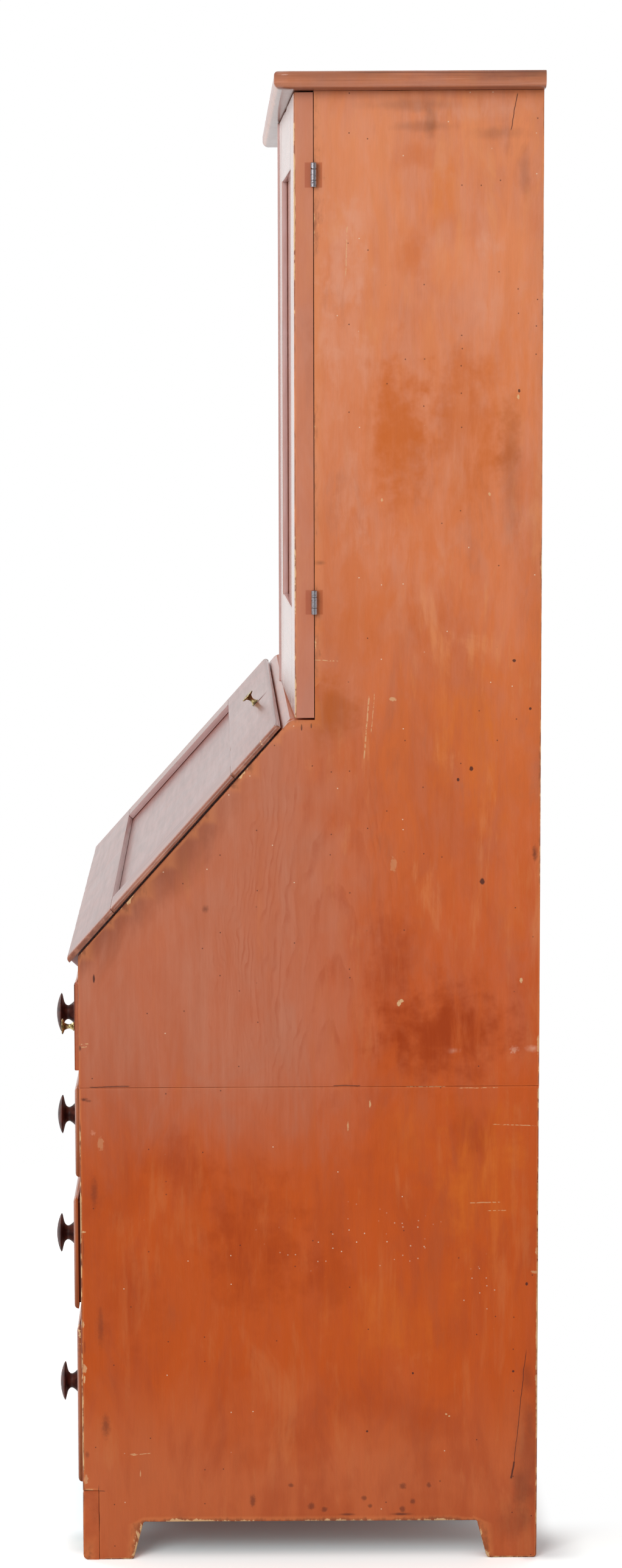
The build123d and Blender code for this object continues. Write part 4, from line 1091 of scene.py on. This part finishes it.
def knots(board):
    """Scattered knots, each with a dark rim, a little longer along the grain."""
    finish = board.finish
    where = finish.node("ShaderNodeCombineXYZ", {}, finish.x * 4.6 + 1.43, finish.z * 2.9 + 0.49)
    distance, chance = finish.cells(where)
    return distance + (board.fray - 0.5) * 0.03, chance.ease(0.45, 0.5)


def back_wood():
    """Rough bare boards with knots and weather-browned streaks."""
    board = Board("back_wood", "Z", 4.0)
    finish = board.finish
    tone = (board.streak * 0.55 + board.line * 0.2 + board.cloud * 0.3 + board.brush * 0.2).ease(0.5, 0.85)
    colour = finish.mix(tone, BACK_SHADE, BACK_TONE)
    distance, chance = knots(board)
    rings = (distance * KNOT_RINGS).fraction()
    around = distance.ease(0.22, 0.06) * chance
    colour = finish.mix(around * rings.ease(0.5, 1.0) * 0.45, colour, BACK_SHADE)
    colour = finish.mix(distance.ease(0.05, 0.03) * chance * 0.85, colour, KNOT_TONE)
    colour = finish.mix(board.patch.ease(0.5, 0.66) * 0.4, colour, SMOKE_STAIN)
    colour, bare = worn_edges(board, colour)
    return finish_board(board, colour, bare, BACK_GLOSS, relief=around * rings * 0.5, fine=1.6)


WOODS["back"] = back_wood()
print("back boards:", len(WOODS["back"].tree.nodes), "nodes")

# %% [markdown]
# The drawer knobs are stained almost black and rubbed brown on their rims. The small knobs are brass,
# and the hinges are plated iron with a little rust.

# %% Knobs and metal
DIMPLE = 0.0002
KNOB_TONES = (screen(52, 24, 22), screen(96, 50, 40))
BRASS_TONES = (screen(190, 172, 122), screen(112, 96, 66))
IRON_TONES = (screen(170, 166, 172), screen(96, 68, 56))


def spots(finish, scale, detail):
    """Round spots, the same in all directions."""
    return finish.noise(finish.stretch((scale, scale, scale)), 1.0, detail)


def knob_finish():
    """Dark stained knobs, rubbed a little brown."""
    finish = Finish("knob_wood")
    ring = finish.noise(finish.stretch((90.0, 30.0, 90.0)), 1.0, 3.0)
    spot = spots(finish, 300.0, 3.0)
    colour = finish.mix(ring.ease(0.35, 0.7), *KNOB_TONES)
    finish.set(Base_Color=colour, Roughness=0.34 + spot * 0.25, Normal=finish.bump(spot, DIMPLE, 0.4))
    finish.shader.inputs["Specular IOR Level"].default_value = 0.22
    return finish


def brass_finish():
    """Brass that has gone dull and brown in its hollows."""
    finish = Finish("old_brass")
    spot = spots(finish, 260.0, 4.0)
    tarnish = spot.ease(0.42, 0.62)
    colour = finish.mix(tarnish, *BRASS_TONES)
    finish.set(Base_Color=colour, Roughness=0.26 + tarnish * 0.3, Normal=finish.bump(spot, DIMPLE, 0.3))
    finish.shader.inputs["Metallic"].default_value = 1.0
    return finish


def iron_finish():
    """Plated iron, dulled and spotted with rust."""
    finish = Finish("old_iron")
    spot = spots(finish, 340.0, 4.0)
    rust = spot.ease(0.55, 0.68)
    colour = finish.mix(rust, *IRON_TONES)
    finish.set(Base_Color=colour, Roughness=0.3 + rust * 0.4, Metallic=1.0 - rust * 0.7)
    finish.set(Normal=finish.bump(spot, DIMPLE, 0.4))
    return finish


WOODS["knob"] = knob_finish()
METALS = {"brass": brass_finish(), "iron": iron_finish()}
print("metals:", ", ".join(METALS))

# %% [markdown]
# Boards that stay as they are packed only need a finish. The rest get a worn copy further down, and the
# finish is given there.

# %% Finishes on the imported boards
def dress(finish, *names):
    """Gives a finish to CAD nodes."""
    for name in names:
        data = nodes[name].data
        data.materials.clear()
        data.materials.append(finish.material)


DRAWERS = range(1, 5)
DRESSED = {
    "rail": ["writing_bed", "bookcase_floor", "bottom_board", "lower_top_board", "upper_bottom_board"],
    "inside": ["drawer_runners", "bookcase_shelves", "gallery_shelf"],
    "back": ["lower_back_boards", "upper_back_boards", "loper_dividers", "gallery_dividers"],
    "box": [f"drawer_{number}_box" for number in DRAWERS] + ["small_drawer_left", "small_drawer_right"],
}
for wood, names in DRESSED.items():
    dress(WOODS[wood], *names)
print("dressed:", sum(len(names) for names in DRESSED.values()), "packed boards")

# %% [markdown]
# Real edges on an old case are rounded by hands and knocks, and never straight. A packed board has
# perfectly sharp ones, so each visible board is copied. First the copy's loose triangles are merged and
# its flat faces made whole, and its outer edges are found and bevelled.

# %% Rounded edges
FLAT_ANGLE = math.radians(0.5)
SHARP_ANGLE = math.radians(40)
WEAR_WIDTH = 0.0014
STRAIGHT = 0.9999
FLAT_AREA = 0.02


def packed_board(name):
    """The closed mesh of a CAD node, with its flat faces whole."""
    shape = bmesh.new()
    shape.from_mesh(nodes[name].data)
    bmesh.ops.remove_doubles(shape, verts=shape.verts, dist=MERGE)
    bmesh.ops.dissolve_limit(shape, angle_limit=FLAT_ANGLE, verts=shape.verts, edges=shape.edges)
    return shape


def sharp_edges(shape, chosen):
    """The sharp outer edges whose middle passes the test."""
    edges = []
    for edge in shape.edges:
        if edge.is_manifold and edge.is_convex and edge.calc_face_angle() > SHARP_ANGLE:
            if chosen((edge.verts[0].co + edge.verts[1].co) / 2):
                edges.append(edge)
    return edges


def is_curved(face):
    """Whether a face is one of the small flats of a packed round."""
    square = max(abs(part) for part in face.normal) > STRAIGHT
    tilted = max(abs(face.normal.dot(way)) for way in (LID_OUT, LID_UP)) > STRAIGHT
    return not square and not tilted and face.calc_area() < FLAT_AREA


def round_edges(shape, edges, width):
    """Bevels the edges and returns the strips."""
    settings = {"affect": "EDGES", "segments": 2, "profile": 0.5, "material": -1}
    settings.update({"offset": width, "offset_type": "OFFSET", "clamp_overlap": True})
    return bmesh.ops.bevel(shape, geom=edges, **settings)["faces"]


print("rounded edges:", WEAR_WIDTH / MM, "mm wide")

# %% [markdown]
# Then the board is cut: across, every few centimetres, so that the bevelled strips have enough points to
# wander, and beside each long edge, so that the wear stays narrow. Subdividing the whole board would do
# as well, but it would give the flat faces many points that nothing moves. The cuts stand unevenly, so
# that no rhythm shows.

# %% Cuts
WEAR_REACH = 0.0045
GUARD_LENGTH = 0.03
CUT_WANDER = 0.3


def guard_planes(edges):
    """Planes a little inside the board beside each long edge, so that its wear stays narrow."""
    planes = {}
    for edge in edges:
        if edge.calc_length() < GUARD_LENGTH:
            continue
        middle = (edge.verts[0].co + edge.verts[1].co) / 2
        run = (edge.verts[1].co - edge.verts[0].co).normalized()
        for face in edge.link_faces:
            inward = face.normal.cross(run)
            if inward.dot(face.calc_center_median() - middle) < 0:
                inward.negate()
            place = middle + inward * WEAR_REACH
            key = tuple(round(part, 3) for part in (*inward, place.dot(inward)))
            planes[key] = (place, inward)
    return list(planes.values())


def cut(shape, place, direction):
    """Cuts all the faces that a plane crosses."""
    everything = shape.verts[:] + shape.edges[:] + shape.faces[:]
    bmesh.ops.bisect_plane(shape, geom=everything, dist=MERGE, plane_co=place, plane_no=direction)


def slice_across(shape, direction, pitch):
    """Cuts the board across a direction every pitch or so."""
    reach = [vert.co.dot(direction) for vert in shape.verts]
    low, high = min(reach), max(reach)
    count = max(1, round((high - low) / pitch))
    for step in range(1, count):
        share = step + CUT_WANDER * noise.noise(Vector((step * 1.7, low * 9.1, 0.5)))
        cut(shape, direction * (low + (high - low) * share / count), direction)


print("cuts: guarded", WEAR_REACH / MM, "mm beside an edge")

# %% [markdown]
# The points of the smooth strips are now pushed inwards by smooth noise, a little everywhere and deeper
# at a few chips. A Displace modifier could do it, but it would move the flat faces too. Each point also
# stores how worn it is, for the finish to show.

# %% Wandering edges
WEAR_DEPTH = 0.0006
CHIP_DEPTH = 0.0022
WEAR_SCALE = 38.0
CHIP_SCALE = 17.0
CHIP_ASIDE = Vector((5.0, 1.0, 9.0))
CHIP_LEVEL = 0.45


def wander(shape, seed, depth, rubbed):
    """Pushes the points of the smooth strips inwards and marks them as worn."""
    shape.normal_update()
    worn = shape.verts.layers.float.new("worn")
    moves = []
    for vert in shape.verts:
        strips = [face for face in vert.link_faces if face.smooth]
        if not strips:
            continue
        place = vert.co + Vector((seed, seed * 0.37, 0.0))
        push = depth * (0.5 + 0.5 * noise.noise(place * WEAR_SCALE))
        rare = noise.noise(place * CHIP_SCALE + CHIP_ASIDE)
        push += CHIP_DEPTH * max(0.0, rare - CHIP_LEVEL) / (1 - CHIP_LEVEL)
        normal = sum((face.normal for face in strips), Vector()).normalized()
        moves.append((vert, normal * -push))
    for vert, move in moves:
        vert[worn] = rubbed(vert.co)
        vert.co += move


print("wandering edges:", WEAR_DEPTH / MM, "mm deep, and", CHIP_DEPTH / MM, "mm at a chip")

# %% [markdown]
# A finished mesh becomes an object that rides on its body and carries its material, and the imported
# pieces it stands for are hidden. A worn board is the first kind of such a piece.

# %% A worn copy of a board
def add_piece(name, shape, finish, body, replaced):
    """Makes an object of a finished mesh, with its finish and body, and hides the nodes it stands for."""
    data = bpy.data.meshes.new(name)
    shape.to_mesh(data)
    shape.free()
    data.materials.append(finish.material)
    made = bpy.data.objects.new(name, data)
    bpy.context.collection.objects.link(made)
    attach(made, body)
    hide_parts(*replaced)


def body_of(node):
    """The body that a CAD node belongs to."""
    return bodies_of(nodes[node])[0]


def rubbed_evenly(share):
    """The same share of wear all along a board's edges."""
    return lambda point: share


def worn_board(node, wood, chosen, slices, seed, slot="stained_wood", rubbed=rubbed_evenly(0.7),
               width=WEAR_WIDTH, depth=WEAR_DEPTH):
    """A CAD node's worn copy, which replaces it."""
    shape = packed_board(node)
    curved = [face for face in shape.faces if is_curved(face)]
    edges = sharp_edges(shape, chosen)
    planes = guard_planes(edges)
    for face in curved + round_edges(shape, edges, width):
        if face.is_valid:
            face.smooth = True
    for direction, pitch in slices:
        slice_across(shape, direction, pitch)
    for place, direction in planes:
        cut(shape, place, direction)
    wander(shape, seed, depth, rubbed)
    add_piece("worn_" + node, shape, WOODS[wood], body_of(node), (node,))


print("worn copies: ready")

# %% [markdown]
# The two side boards of each case carry most of the picture. Only the edges on their outer faces and at
# their fronts are worn; the rest meet other boards. Three numbers tell how worn an upright edge is: a
# height, the wear below it and the wear above it.

# %% Worn side boards
DOOR_LOW, DOOR_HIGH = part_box("door_right_stiles")
EDGE_ZONE = 0.004
SKIRT_ZONE = (FRONT_Y + 0.01, FRONT_Y + 0.03)
JOINT_WEAR, SLOPE_WEAR = 0.35, 0.9
FRONT_WEAR, BACK_WEAR = (0.62, 1.05, 0.68), (0.75, 1.0, 0.85)
UPRIGHT = ((UP, 0.021), (DEEP, 0.028))


def at_front(point):
    return point.y < FRONT_Y + TOUCH


def on_end_or_front(point):
    """Whether an edge lies on the outer face at either end of the case, or at its front."""
    return abs(abs(point.x) - HALF_WIDTH) < TOUCH or at_front(point)


def rubbed_sides(point):
    """Little wear at the seam and under the top board, most at the feet and the back edge."""
    near_seam = abs(point.z - SEAM_Z) < EDGE_ZONE or point.z > CORNICE_LOW.z - EDGE_ZONE
    under_lid = abs((point - LID_PLACE).dot(LID_OUT) - LID_SINK) < EDGE_ZONE
    at_skirt = point.z < SKIRT_HIGH.z + 0.003 and SKIRT_ZONE[0] < point.y < SKIRT_ZONE[1]
    if abs(point.x) < HALF_WIDTH - EDGE_ZONE:
        return 0.0
    if near_seam or at_skirt:
        return JOINT_WEAR
    if under_lid:
        return SLOPE_WEAR
    height, below, above = FRONT_WEAR if point.y < DOOR_HIGH.y + EDGE_ZONE else BACK_WEAR
    return below if point.z < height else above


for word, wood, seed in (("right", "near_side", 1.0), ("left", "far_side", 7.0)):
    for part in ("lower", "upper"):
        worn_board(f"{part}_side_{word}", wood, on_end_or_front, UPRIGHT, seed, rubbed=rubbed_sides)
print("worn: four side boards")

# %% [markdown]
# The base board, the two rails and the top board run the other way, from end to end. The top board and
# the drawer fronts already have rounded edges, which only need to wander.

# %% Worn cross boards and drawer fronts
LEVEL = ((ACROSS, 0.024),)
CRISP = {"width": 0.0006, "depth": 0.0003}


def nowhere(point):
    return False


worn_board("base_skirt", "rail", at_front, LEVEL, 2.0, rubbed=rubbed_evenly(0.85))
worn_board("rail_low", "rail", at_front, LEVEL, 3.0, **CRISP)
worn_board("rail_mid", "rail", at_front, LEVEL, 4.0, **CRISP)
worn_board("cornice_board", "cornice", nowhere, LEVEL + ((DEEP, 0.024),), 5.0, rubbed=rubbed_evenly(0.2))
for number in DRAWERS:
    worn_board(f"drawer_{number}_front", "front", nowhere, LEVEL, 10.0 + number, rubbed=rubbed_evenly(0.5))
print("worn: base board, rails, top board and drawer fronts")

# %% [markdown]
# Doors are frames: stiles, rails and a sunk panel. Their outer edges are worn, most along the hinges, and
# the edges around each panel stay crisper.

# %% Worn doors
DOOR_FACE = 0.012
HINGED_WIDE, HINGED_DEEP, HINGED_SHARE = 0.012, 0.014, 0.9
LIGHT_SHARE = 0.35
LIGHT_WEAR = rubbed_evenly(LIGHT_SHARE)
FADED = "faded_wood"


def on_door_face(point):
    return point.y < DOOR_LOW.y + DOOR_FACE


def rubbed_doors(point):
    """Most wear along the hinged edge of each door."""
    hinged = abs(point.x) > HALF_WIDTH - HINGED_WIDE and point.y < DOOR_LOW.y + HINGED_DEEP
    return HINGED_SHARE if hinged else LIGHT_SHARE


for word, seed in (("right", 21.0), ("left", 25.0)):
    worn_board(f"door_{word}_stiles", "door", on_door_face, ((UP, 0.024),), seed, FADED, rubbed_doors)
    worn_board(f"door_{word}_panel", "door", nowhere, ((UP, 0.05),), seed + 1, FADED, LIGHT_WEAR)
    worn_board(f"door_{word}_top_rail", "door_rail", on_door_face, LEVEL, seed + 2, FADED, LIGHT_WEAR)
    worn_board(f"door_{word}_bottom_rail", "door_rail", on_door_face, LEVEL, seed + 3, FADED, LIGHT_WEAR)
print("worn: two doors")

# %% [markdown]
# The lid is made like a door, with a wider rounding on its two ends. Its supports slide in and out
# below it, so only their front ends are worn.

# %% Worn lid and supports
LID_ROUND = 0.0022
LID_END, END_WEAR, LID_WEAR = 0.02, 0.42, 0.25


def on_lid_face(point):
    return (point - LID_PLACE).dot(LID_OUT) > LID_SINK


def rubbed_lid(point):
    """Most wear on the lid's two ends."""
    return END_WEAR if abs(point.x) > HALF_WIDTH - LID_END else LID_WEAR


worn_board("lid_stiles", "lid_stile", on_lid_face, ((LID_UP, 0.022),), 31.0, FADED, rubbed_lid, LID_ROUND)
worn_board("lid_bottom_rail", "lid", on_lid_face, LEVEL, 32.0, FADED, rubbed_lid)
worn_board("lid_top_rail", "lid", on_lid_face, LEVEL, 33.0, FADED, rubbed_lid)
worn_board("lid_panel", "lid", nowhere, LEVEL, 34.0, FADED, LIGHT_WEAR)
for word in ("right", "left"):
    worn_board(f"loper_{word}", "support", at_front, ((DEEP, 0.03),), 35.0, "bare_wood", LIGHT_WEAR)
print("worn: lid and its two supports")

# %% [markdown]
# A turned knob is a profile spun round its axis. The profile is drawn as a chain of points along the
# axis, close together where it curves, and an operator spins it once round.

# %% Turning
SPIN_STEPS = 40


def turned(profile, base, outward):
    """Spins a chain of (distance along the axis, radius) pairs into a closed shape at a place."""
    shape = bmesh.new()
    verts = [shape.verts.new((radius, 0.0, along)) for along, radius in profile]
    edges = [shape.edges.new(pair) for pair in zip(verts, verts[1:])]
    circle = {"cent": (0, 0, 0), "axis": (0, 0, 1), "angle": math.tau, "steps": SPIN_STEPS, "use_merge": True}
    bmesh.ops.spin(shape, geom=verts + edges, use_duplicate=False, **circle)
    bmesh.ops.remove_doubles(shape, verts=shape.verts, dist=MERGE)
    bmesh.ops.recalc_face_normals(shape, faces=shape.faces)
    turn = UP.rotation_difference(outward).to_matrix().to_4x4()
    bmesh.ops.transform(shape, matrix=Matrix.Translation(base) @ turn, verts=shape.verts)
    for face in shape.faces:
        face.smooth = True
    return shape


print("turning:", SPIN_STEPS, "steps round")

# %% [markdown]
# Each pair below is a distance along the axis and a radius, in metres. The foot reaches into the board,
# then come a base, a slim neck and the broad rounded head, which ends on the axis.

# %% Profiles of the knobs
WOOD_KNOB = (
    (-0.014, 0.0), (-0.014, 0.007), (0.0001, 0.007), (0.0001, 0.0168), (0.001, 0.0172), (0.004, 0.0152),
    (0.0075, 0.012), (0.01, 0.0103), (0.012, 0.0097), (0.014, 0.0101), (0.016, 0.0117), (0.0176, 0.0146),
    (0.0188, 0.019), (0.0198, 0.0234), (0.0205, 0.0259), (0.0211, 0.0267), (0.0217, 0.0264),
    (0.0232, 0.0238), (0.025, 0.0188), (0.0266, 0.0124), (0.0275, 0.0062), (0.0279, 0.0),
)
BRASS_KNOB = (
    (-0.012, 0.0), (-0.012, 0.002), (0.0001, 0.002), (0.0001, 0.0062), (0.0008, 0.0063), (0.0012, 0.006),
    (0.002, 0.0051), (0.004, 0.0038), (0.006, 0.0031), (0.0074, 0.003), (0.009, 0.0032), (0.0112, 0.0041),
    (0.0132, 0.0053), (0.015, 0.0098), (0.0157, 0.0106), (0.0163, 0.0107), (0.0168, 0.0104),
    (0.0166, 0.0085), (0.0162, 0.004), (0.0161, 0.0),
)
print("profiles:", len(WOOD_KNOB), "points for wood and", len(BRASS_KNOB), "for brass")

# %% [markdown]
# A packed knob has the same axis but fewer turns in its profile. Smoothing it would round off its neck,
# so a finer one takes its place on the same axis, with its head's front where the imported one's is.

# %% Knobs
FORWARD = -DEEP
KNOB_REACH = 0.05


def knob_piece(name, node, place, profile, outward, finish):
    """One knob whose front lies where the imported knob's does."""
    verts = [vert.co for vert in nodes[node].data.vertices if (vert.co - place).length < KNOB_REACH]
    front = max(vert.dot(outward) for vert in verts)
    length = max(profile)[0]
    axis_point = place - outward * place.dot(outward)
    shape = turned(profile, axis_point + outward * (front - length), outward)
    add_piece(name, shape, finish, body_of(node), (node,))


for number in DRAWERS:
    node = f"drawer_{number}_knobs"
    for count, place in enumerate(loose_parts(node)):
        name = f"drawer_{number}_knob_{count + 1}"
        knob_piece(name, node, place, WOOD_KNOB, FORWARD, WOODS["knob"])
for node, outward in (("lid_knob", LID_OUT), ("loper_left_knob", FORWARD), ("loper_right_knob", FORWARD)):
    place = loose_parts(node)[0]
    knob_piece(node + "_turned", node, place, BRASS_KNOB, outward, METALS["brass"])
print("turned: eight drawer knobs and three of brass")

# %% [markdown]
# A hinge is a strip of iron whose end is rolled round a pin. The roll never quite closes, so each knuckle
# shows a seam. The outline of the sheet is spun almost once round, which leaves that seam open, and the
# corners of the outline are cut off a little, which gives the knuckles their dark joints.

# %% Rolled knuckles
SOFT = 0.0004
SEAM = 0.0007
ROLL_STEPS = 30


def turn_about(shape, verts, angle, axis="Z"):
    """Turns points about an axis through the origin."""
    bmesh.ops.rotate(shape, cent=(0, 0, 0), matrix=Matrix.Rotation(angle, 3, axis), verts=verts)


def spun(shape, outline, angle, steps, offset=(0.0, 0.0, 0.0)):
    """Spins a closed outline of (radius, height) pairs about the Z axis and returns the new points."""
    before = set(shape.verts)
    verts = [shape.verts.new((radius, 0.0, height)) for radius, height in outline]
    face = shape.faces.new(verts)
    arc = {"cent": (0, 0, 0), "axis": (0, 0, 1), "angle": angle, "steps": steps}
    bmesh.ops.spin(shape, geom=[face, *face.edges, *verts], use_duplicate=False, use_merge=False, **arc)
    made = [vert for vert in shape.verts if vert not in before]
    bmesh.ops.translate(shape, vec=offset, verts=made)
    return made


def knuckle(shape, radius, hole, span):
    """A knuckle with its seam turned outwards."""
    low, high = span
    outline = [(hole, low), (radius - SOFT, low), (radius, low + SOFT), (radius, high - SOFT)]
    outline += [(radius - SOFT, high), (hole, high)]
    gap = SEAM / radius
    made = spun(shape, outline, math.tau - gap, ROLL_STEPS)
    turn_about(shape, made, math.pi + gap / 2)


print("knuckles: rolled with a seam of", SEAM / MM, "mm")

# %% [markdown]
# The leaves are flat plates, let into the wood. Their screws only show when a door or the lid is open: two
# half-moons on a disc leave the slot between them.

# %% Leaves and screws
SCREW_SUNK, SCREW_PROUD = -0.0004, 0.0002
SCREW_ROUND = 0.00015
SCREW_SLOT = 0.0009
SCREW_STEPS = 14
DISC_SHARE, DISC_THICK = 0.98, 0.0002
PLATE_SOFT = 0.0002


def plate(shape, low, high):
    """A flat block with its edges taken off."""
    made = bmesh.ops.create_cube(shape, size=1.0)["verts"]
    low, high = Vector(low), Vector(high)
    bmesh.ops.scale(shape, vec=high - low, verts=made)
    bmesh.ops.translate(shape, vec=(high + low) / 2, verts=made)
    edges = {edge for vert in made for edge in vert.link_edges}
    soften = {"affect": "EDGES", "segments": 1, "profile": 0.5, "material": -1}
    bmesh.ops.bevel(shape, geom=list(edges), offset=PLATE_SOFT, **soften)


def screw(shape, place, radius, turn):
    """A slotted screw head that looks along -Y."""
    low, high, aside = SCREW_SUNK, SCREW_PROUD, (0.0, SCREW_SLOT / 2, 0.0)
    half = [(0.0, low), (radius, low), (radius, high - SCREW_ROUND), (radius * 0.9, high), (0.0, high)]
    rim, top = radius * DISC_SHARE, low + DISC_THICK
    disc = [(0.0, low), (rim, low), (rim, top), (0.0, top)]
    made = spun(shape, half, math.pi, SCREW_STEPS, aside)
    other = spun(shape, half, math.pi, SCREW_STEPS, aside)
    turn_about(shape, other, math.pi)
    made += other + spun(shape, disc, math.tau, SCREW_STEPS * 2)
    turn_about(shape, made, turn)
    turn_about(shape, made, math.pi / 2, "X")
    bmesh.ops.translate(shape, vec=place, verts=made)


print("screws: slotted")

# %% [markdown]
# One half of a hinge is its plate, its knuckles and its screws. It is made lying on its own axes, the pin
# along Z and the plate along X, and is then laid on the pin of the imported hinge.

# %% Half a hinge
SLACK = 0.00035
SIZES = ("length", "radius", "hole", "width", "lift", "screws")
HINGE_KINDS = {
    "door": dict(zip(SIZES, (0.032, 0.00415, 0.00165, 0.018, 0.0004, 2))),
    "lid": dict(zip(SIZES, (0.060, 0.0032, 0.00135, 0.028, 0.0, 3))),
}
LEAF_THICK = 0.0016
END_SHARE = 0.27
KNUCKLE_GAP = 0.0003
SCREW_SPREAD = 0.6
SCREW_SHARE = 0.13


def knuckle_spans(length, ends):
    """Where the two end knuckles lie along the pin, or the one between them."""
    half, end = length / 2, length * END_SHARE
    if ends:
        return [(-half, -half + end - KNUCKLE_GAP / 2), (half - end + KNUCKLE_GAP / 2, half)]
    return [(-half + end + KNUCKLE_GAP / 2, half - end - KNUCKLE_GAP / 2)]


def half_hinge(kind, ends, place, across, out):
    """A plate with its knuckles and screws, at a pin, with the plate going across."""
    sizes = HINGE_KINDS[kind]
    shape = bmesh.new()
    start = sizes["radius"] + SLACK
    half, stop = sizes["length"] / 2, start + sizes["width"]
    low, high = sizes["lift"], sizes["lift"] + LEAF_THICK
    plate(shape, (start, low, -half), (stop, high, half))
    for span in knuckle_spans(sizes["length"], ends):
        knuckle(shape, sizes["radius"], sizes["hole"], span)
        plate(shape, (sizes["hole"] + SLACK, low, span[0]), (start + SLACK, high, span[1]))
    for count in range(sizes["screws"]):
        along = (count / (sizes["screws"] - 1) - 0.5) * sizes["length"] * SCREW_SPREAD
        aside = start + sizes["width"] * (0.62 if count % 2 else 0.42)
        screw(shape, (aside, low, along), sizes["width"] * SCREW_SHARE, 0.7 + count * 1.1)
    bmesh.ops.recalc_face_normals(shape, faces=shape.faces)
    turn = Matrix((across, out, across.cross(out))).transposed().to_4x4()
    bmesh.ops.transform(shape, matrix=Matrix.Translation(place) @ turn, verts=shape.verts)
    return shape


print("half hinges:", ", ".join(HINGE_KINDS))

# %% [markdown]
# The halves of one body's hinges are joined into one piece, because the frame holds them as one, and
# they never move apart. Their small faces are the rolled ones, so those are shaded smooth.

# %% Joined pieces of iron
ROLLED_AREA = 0.000003


def joined(shapes):
    """Several shapes as one."""
    whole = bmesh.new()
    for shape in shapes:
        data = bpy.data.meshes.new("part")
        shape.to_mesh(data)
        shape.free()
        whole.from_mesh(data)
        bpy.data.meshes.remove(data)
    for face in whole.faces:
        face.smooth = face.calc_area() < ROLLED_AREA
    return whole


def iron_piece(name, node, shapes):
    """Several shapes as one piece of iron, which stands for a CAD node."""
    add_piece(name, joined(shapes), METALS["iron"], body_of(node), (node,))


print("joined pieces: ready")

# %% [markdown]
# The case carries the end knuckles and the pins, each door the middle knuckle of its two hinges, and the
# lid the middle knuckles of its own.

# %% Hinges
PIN_SLACK = 0.00005


def pin_piece(name, node, places, kind, along):
    """The pins of a set of hinges, with rounded ends."""
    half, radius = HINGE_KINDS[kind]["length"] / 2, HINGE_KINDS[kind]["hole"] - PIN_SLACK
    profile = [(-half, 0.0), (-half, radius - SOFT), (SOFT - half, radius), (half - SOFT, radius)]
    profile += [(half, radius - SOFT), (half, 0.0)]
    iron_piece(name, node, [turned(profile, place, along) for place in places])


DOOR_FLATS = {
    word: max(nodes[f"door_{word}_panel"].data.polygons, key=lambda flat: -flat.area * flat.normal.y).normal
    for word in ("left", "right")
}
case_halves = []
for place in DOOR_PINS:
    inward = ACROSS if place.x < 0 else -ACROSS
    case_halves.append(half_hinge("door", True, place, inward, DEEP))
iron_piece("case_hinge_halves", "case_hinge_leaves", case_halves)
for word, pins in (("left", DOOR_PINS[:2]), ("right", DOOR_PINS[2:])):
    out = DOOR_FLATS[word].copy()
    inward = out.cross(UP) if word == "right" else UP.cross(out)
    halves = [half_hinge("door", False, place, inward, out) for place in pins]
    iron_piece(f"door_{word}_hinge_halves", f"door_{word}_hinge_leaves", halves)
pin_piece("door_pins", "door_hinge_pins", DOOR_PINS, "door", UP)
bed_halves = [half_hinge("lid", True, place, DEEP, -UP) for place in LID_PINS]
iron_piece("bed_hinge_halves", "bed_hinge_leaves", bed_halves)
lid_halves = [half_hinge("lid", False, place, LID_UP, LID_OUT) for place in LID_PINS]
iron_piece("lid_hinge_halves", "lid_hinge_leaves", lid_halves)
pin_piece("lid_pins", "lid_hinge_pins", LID_PINS, "lid", ACROSS)
print("hinges: four on the doors, two on the lid")
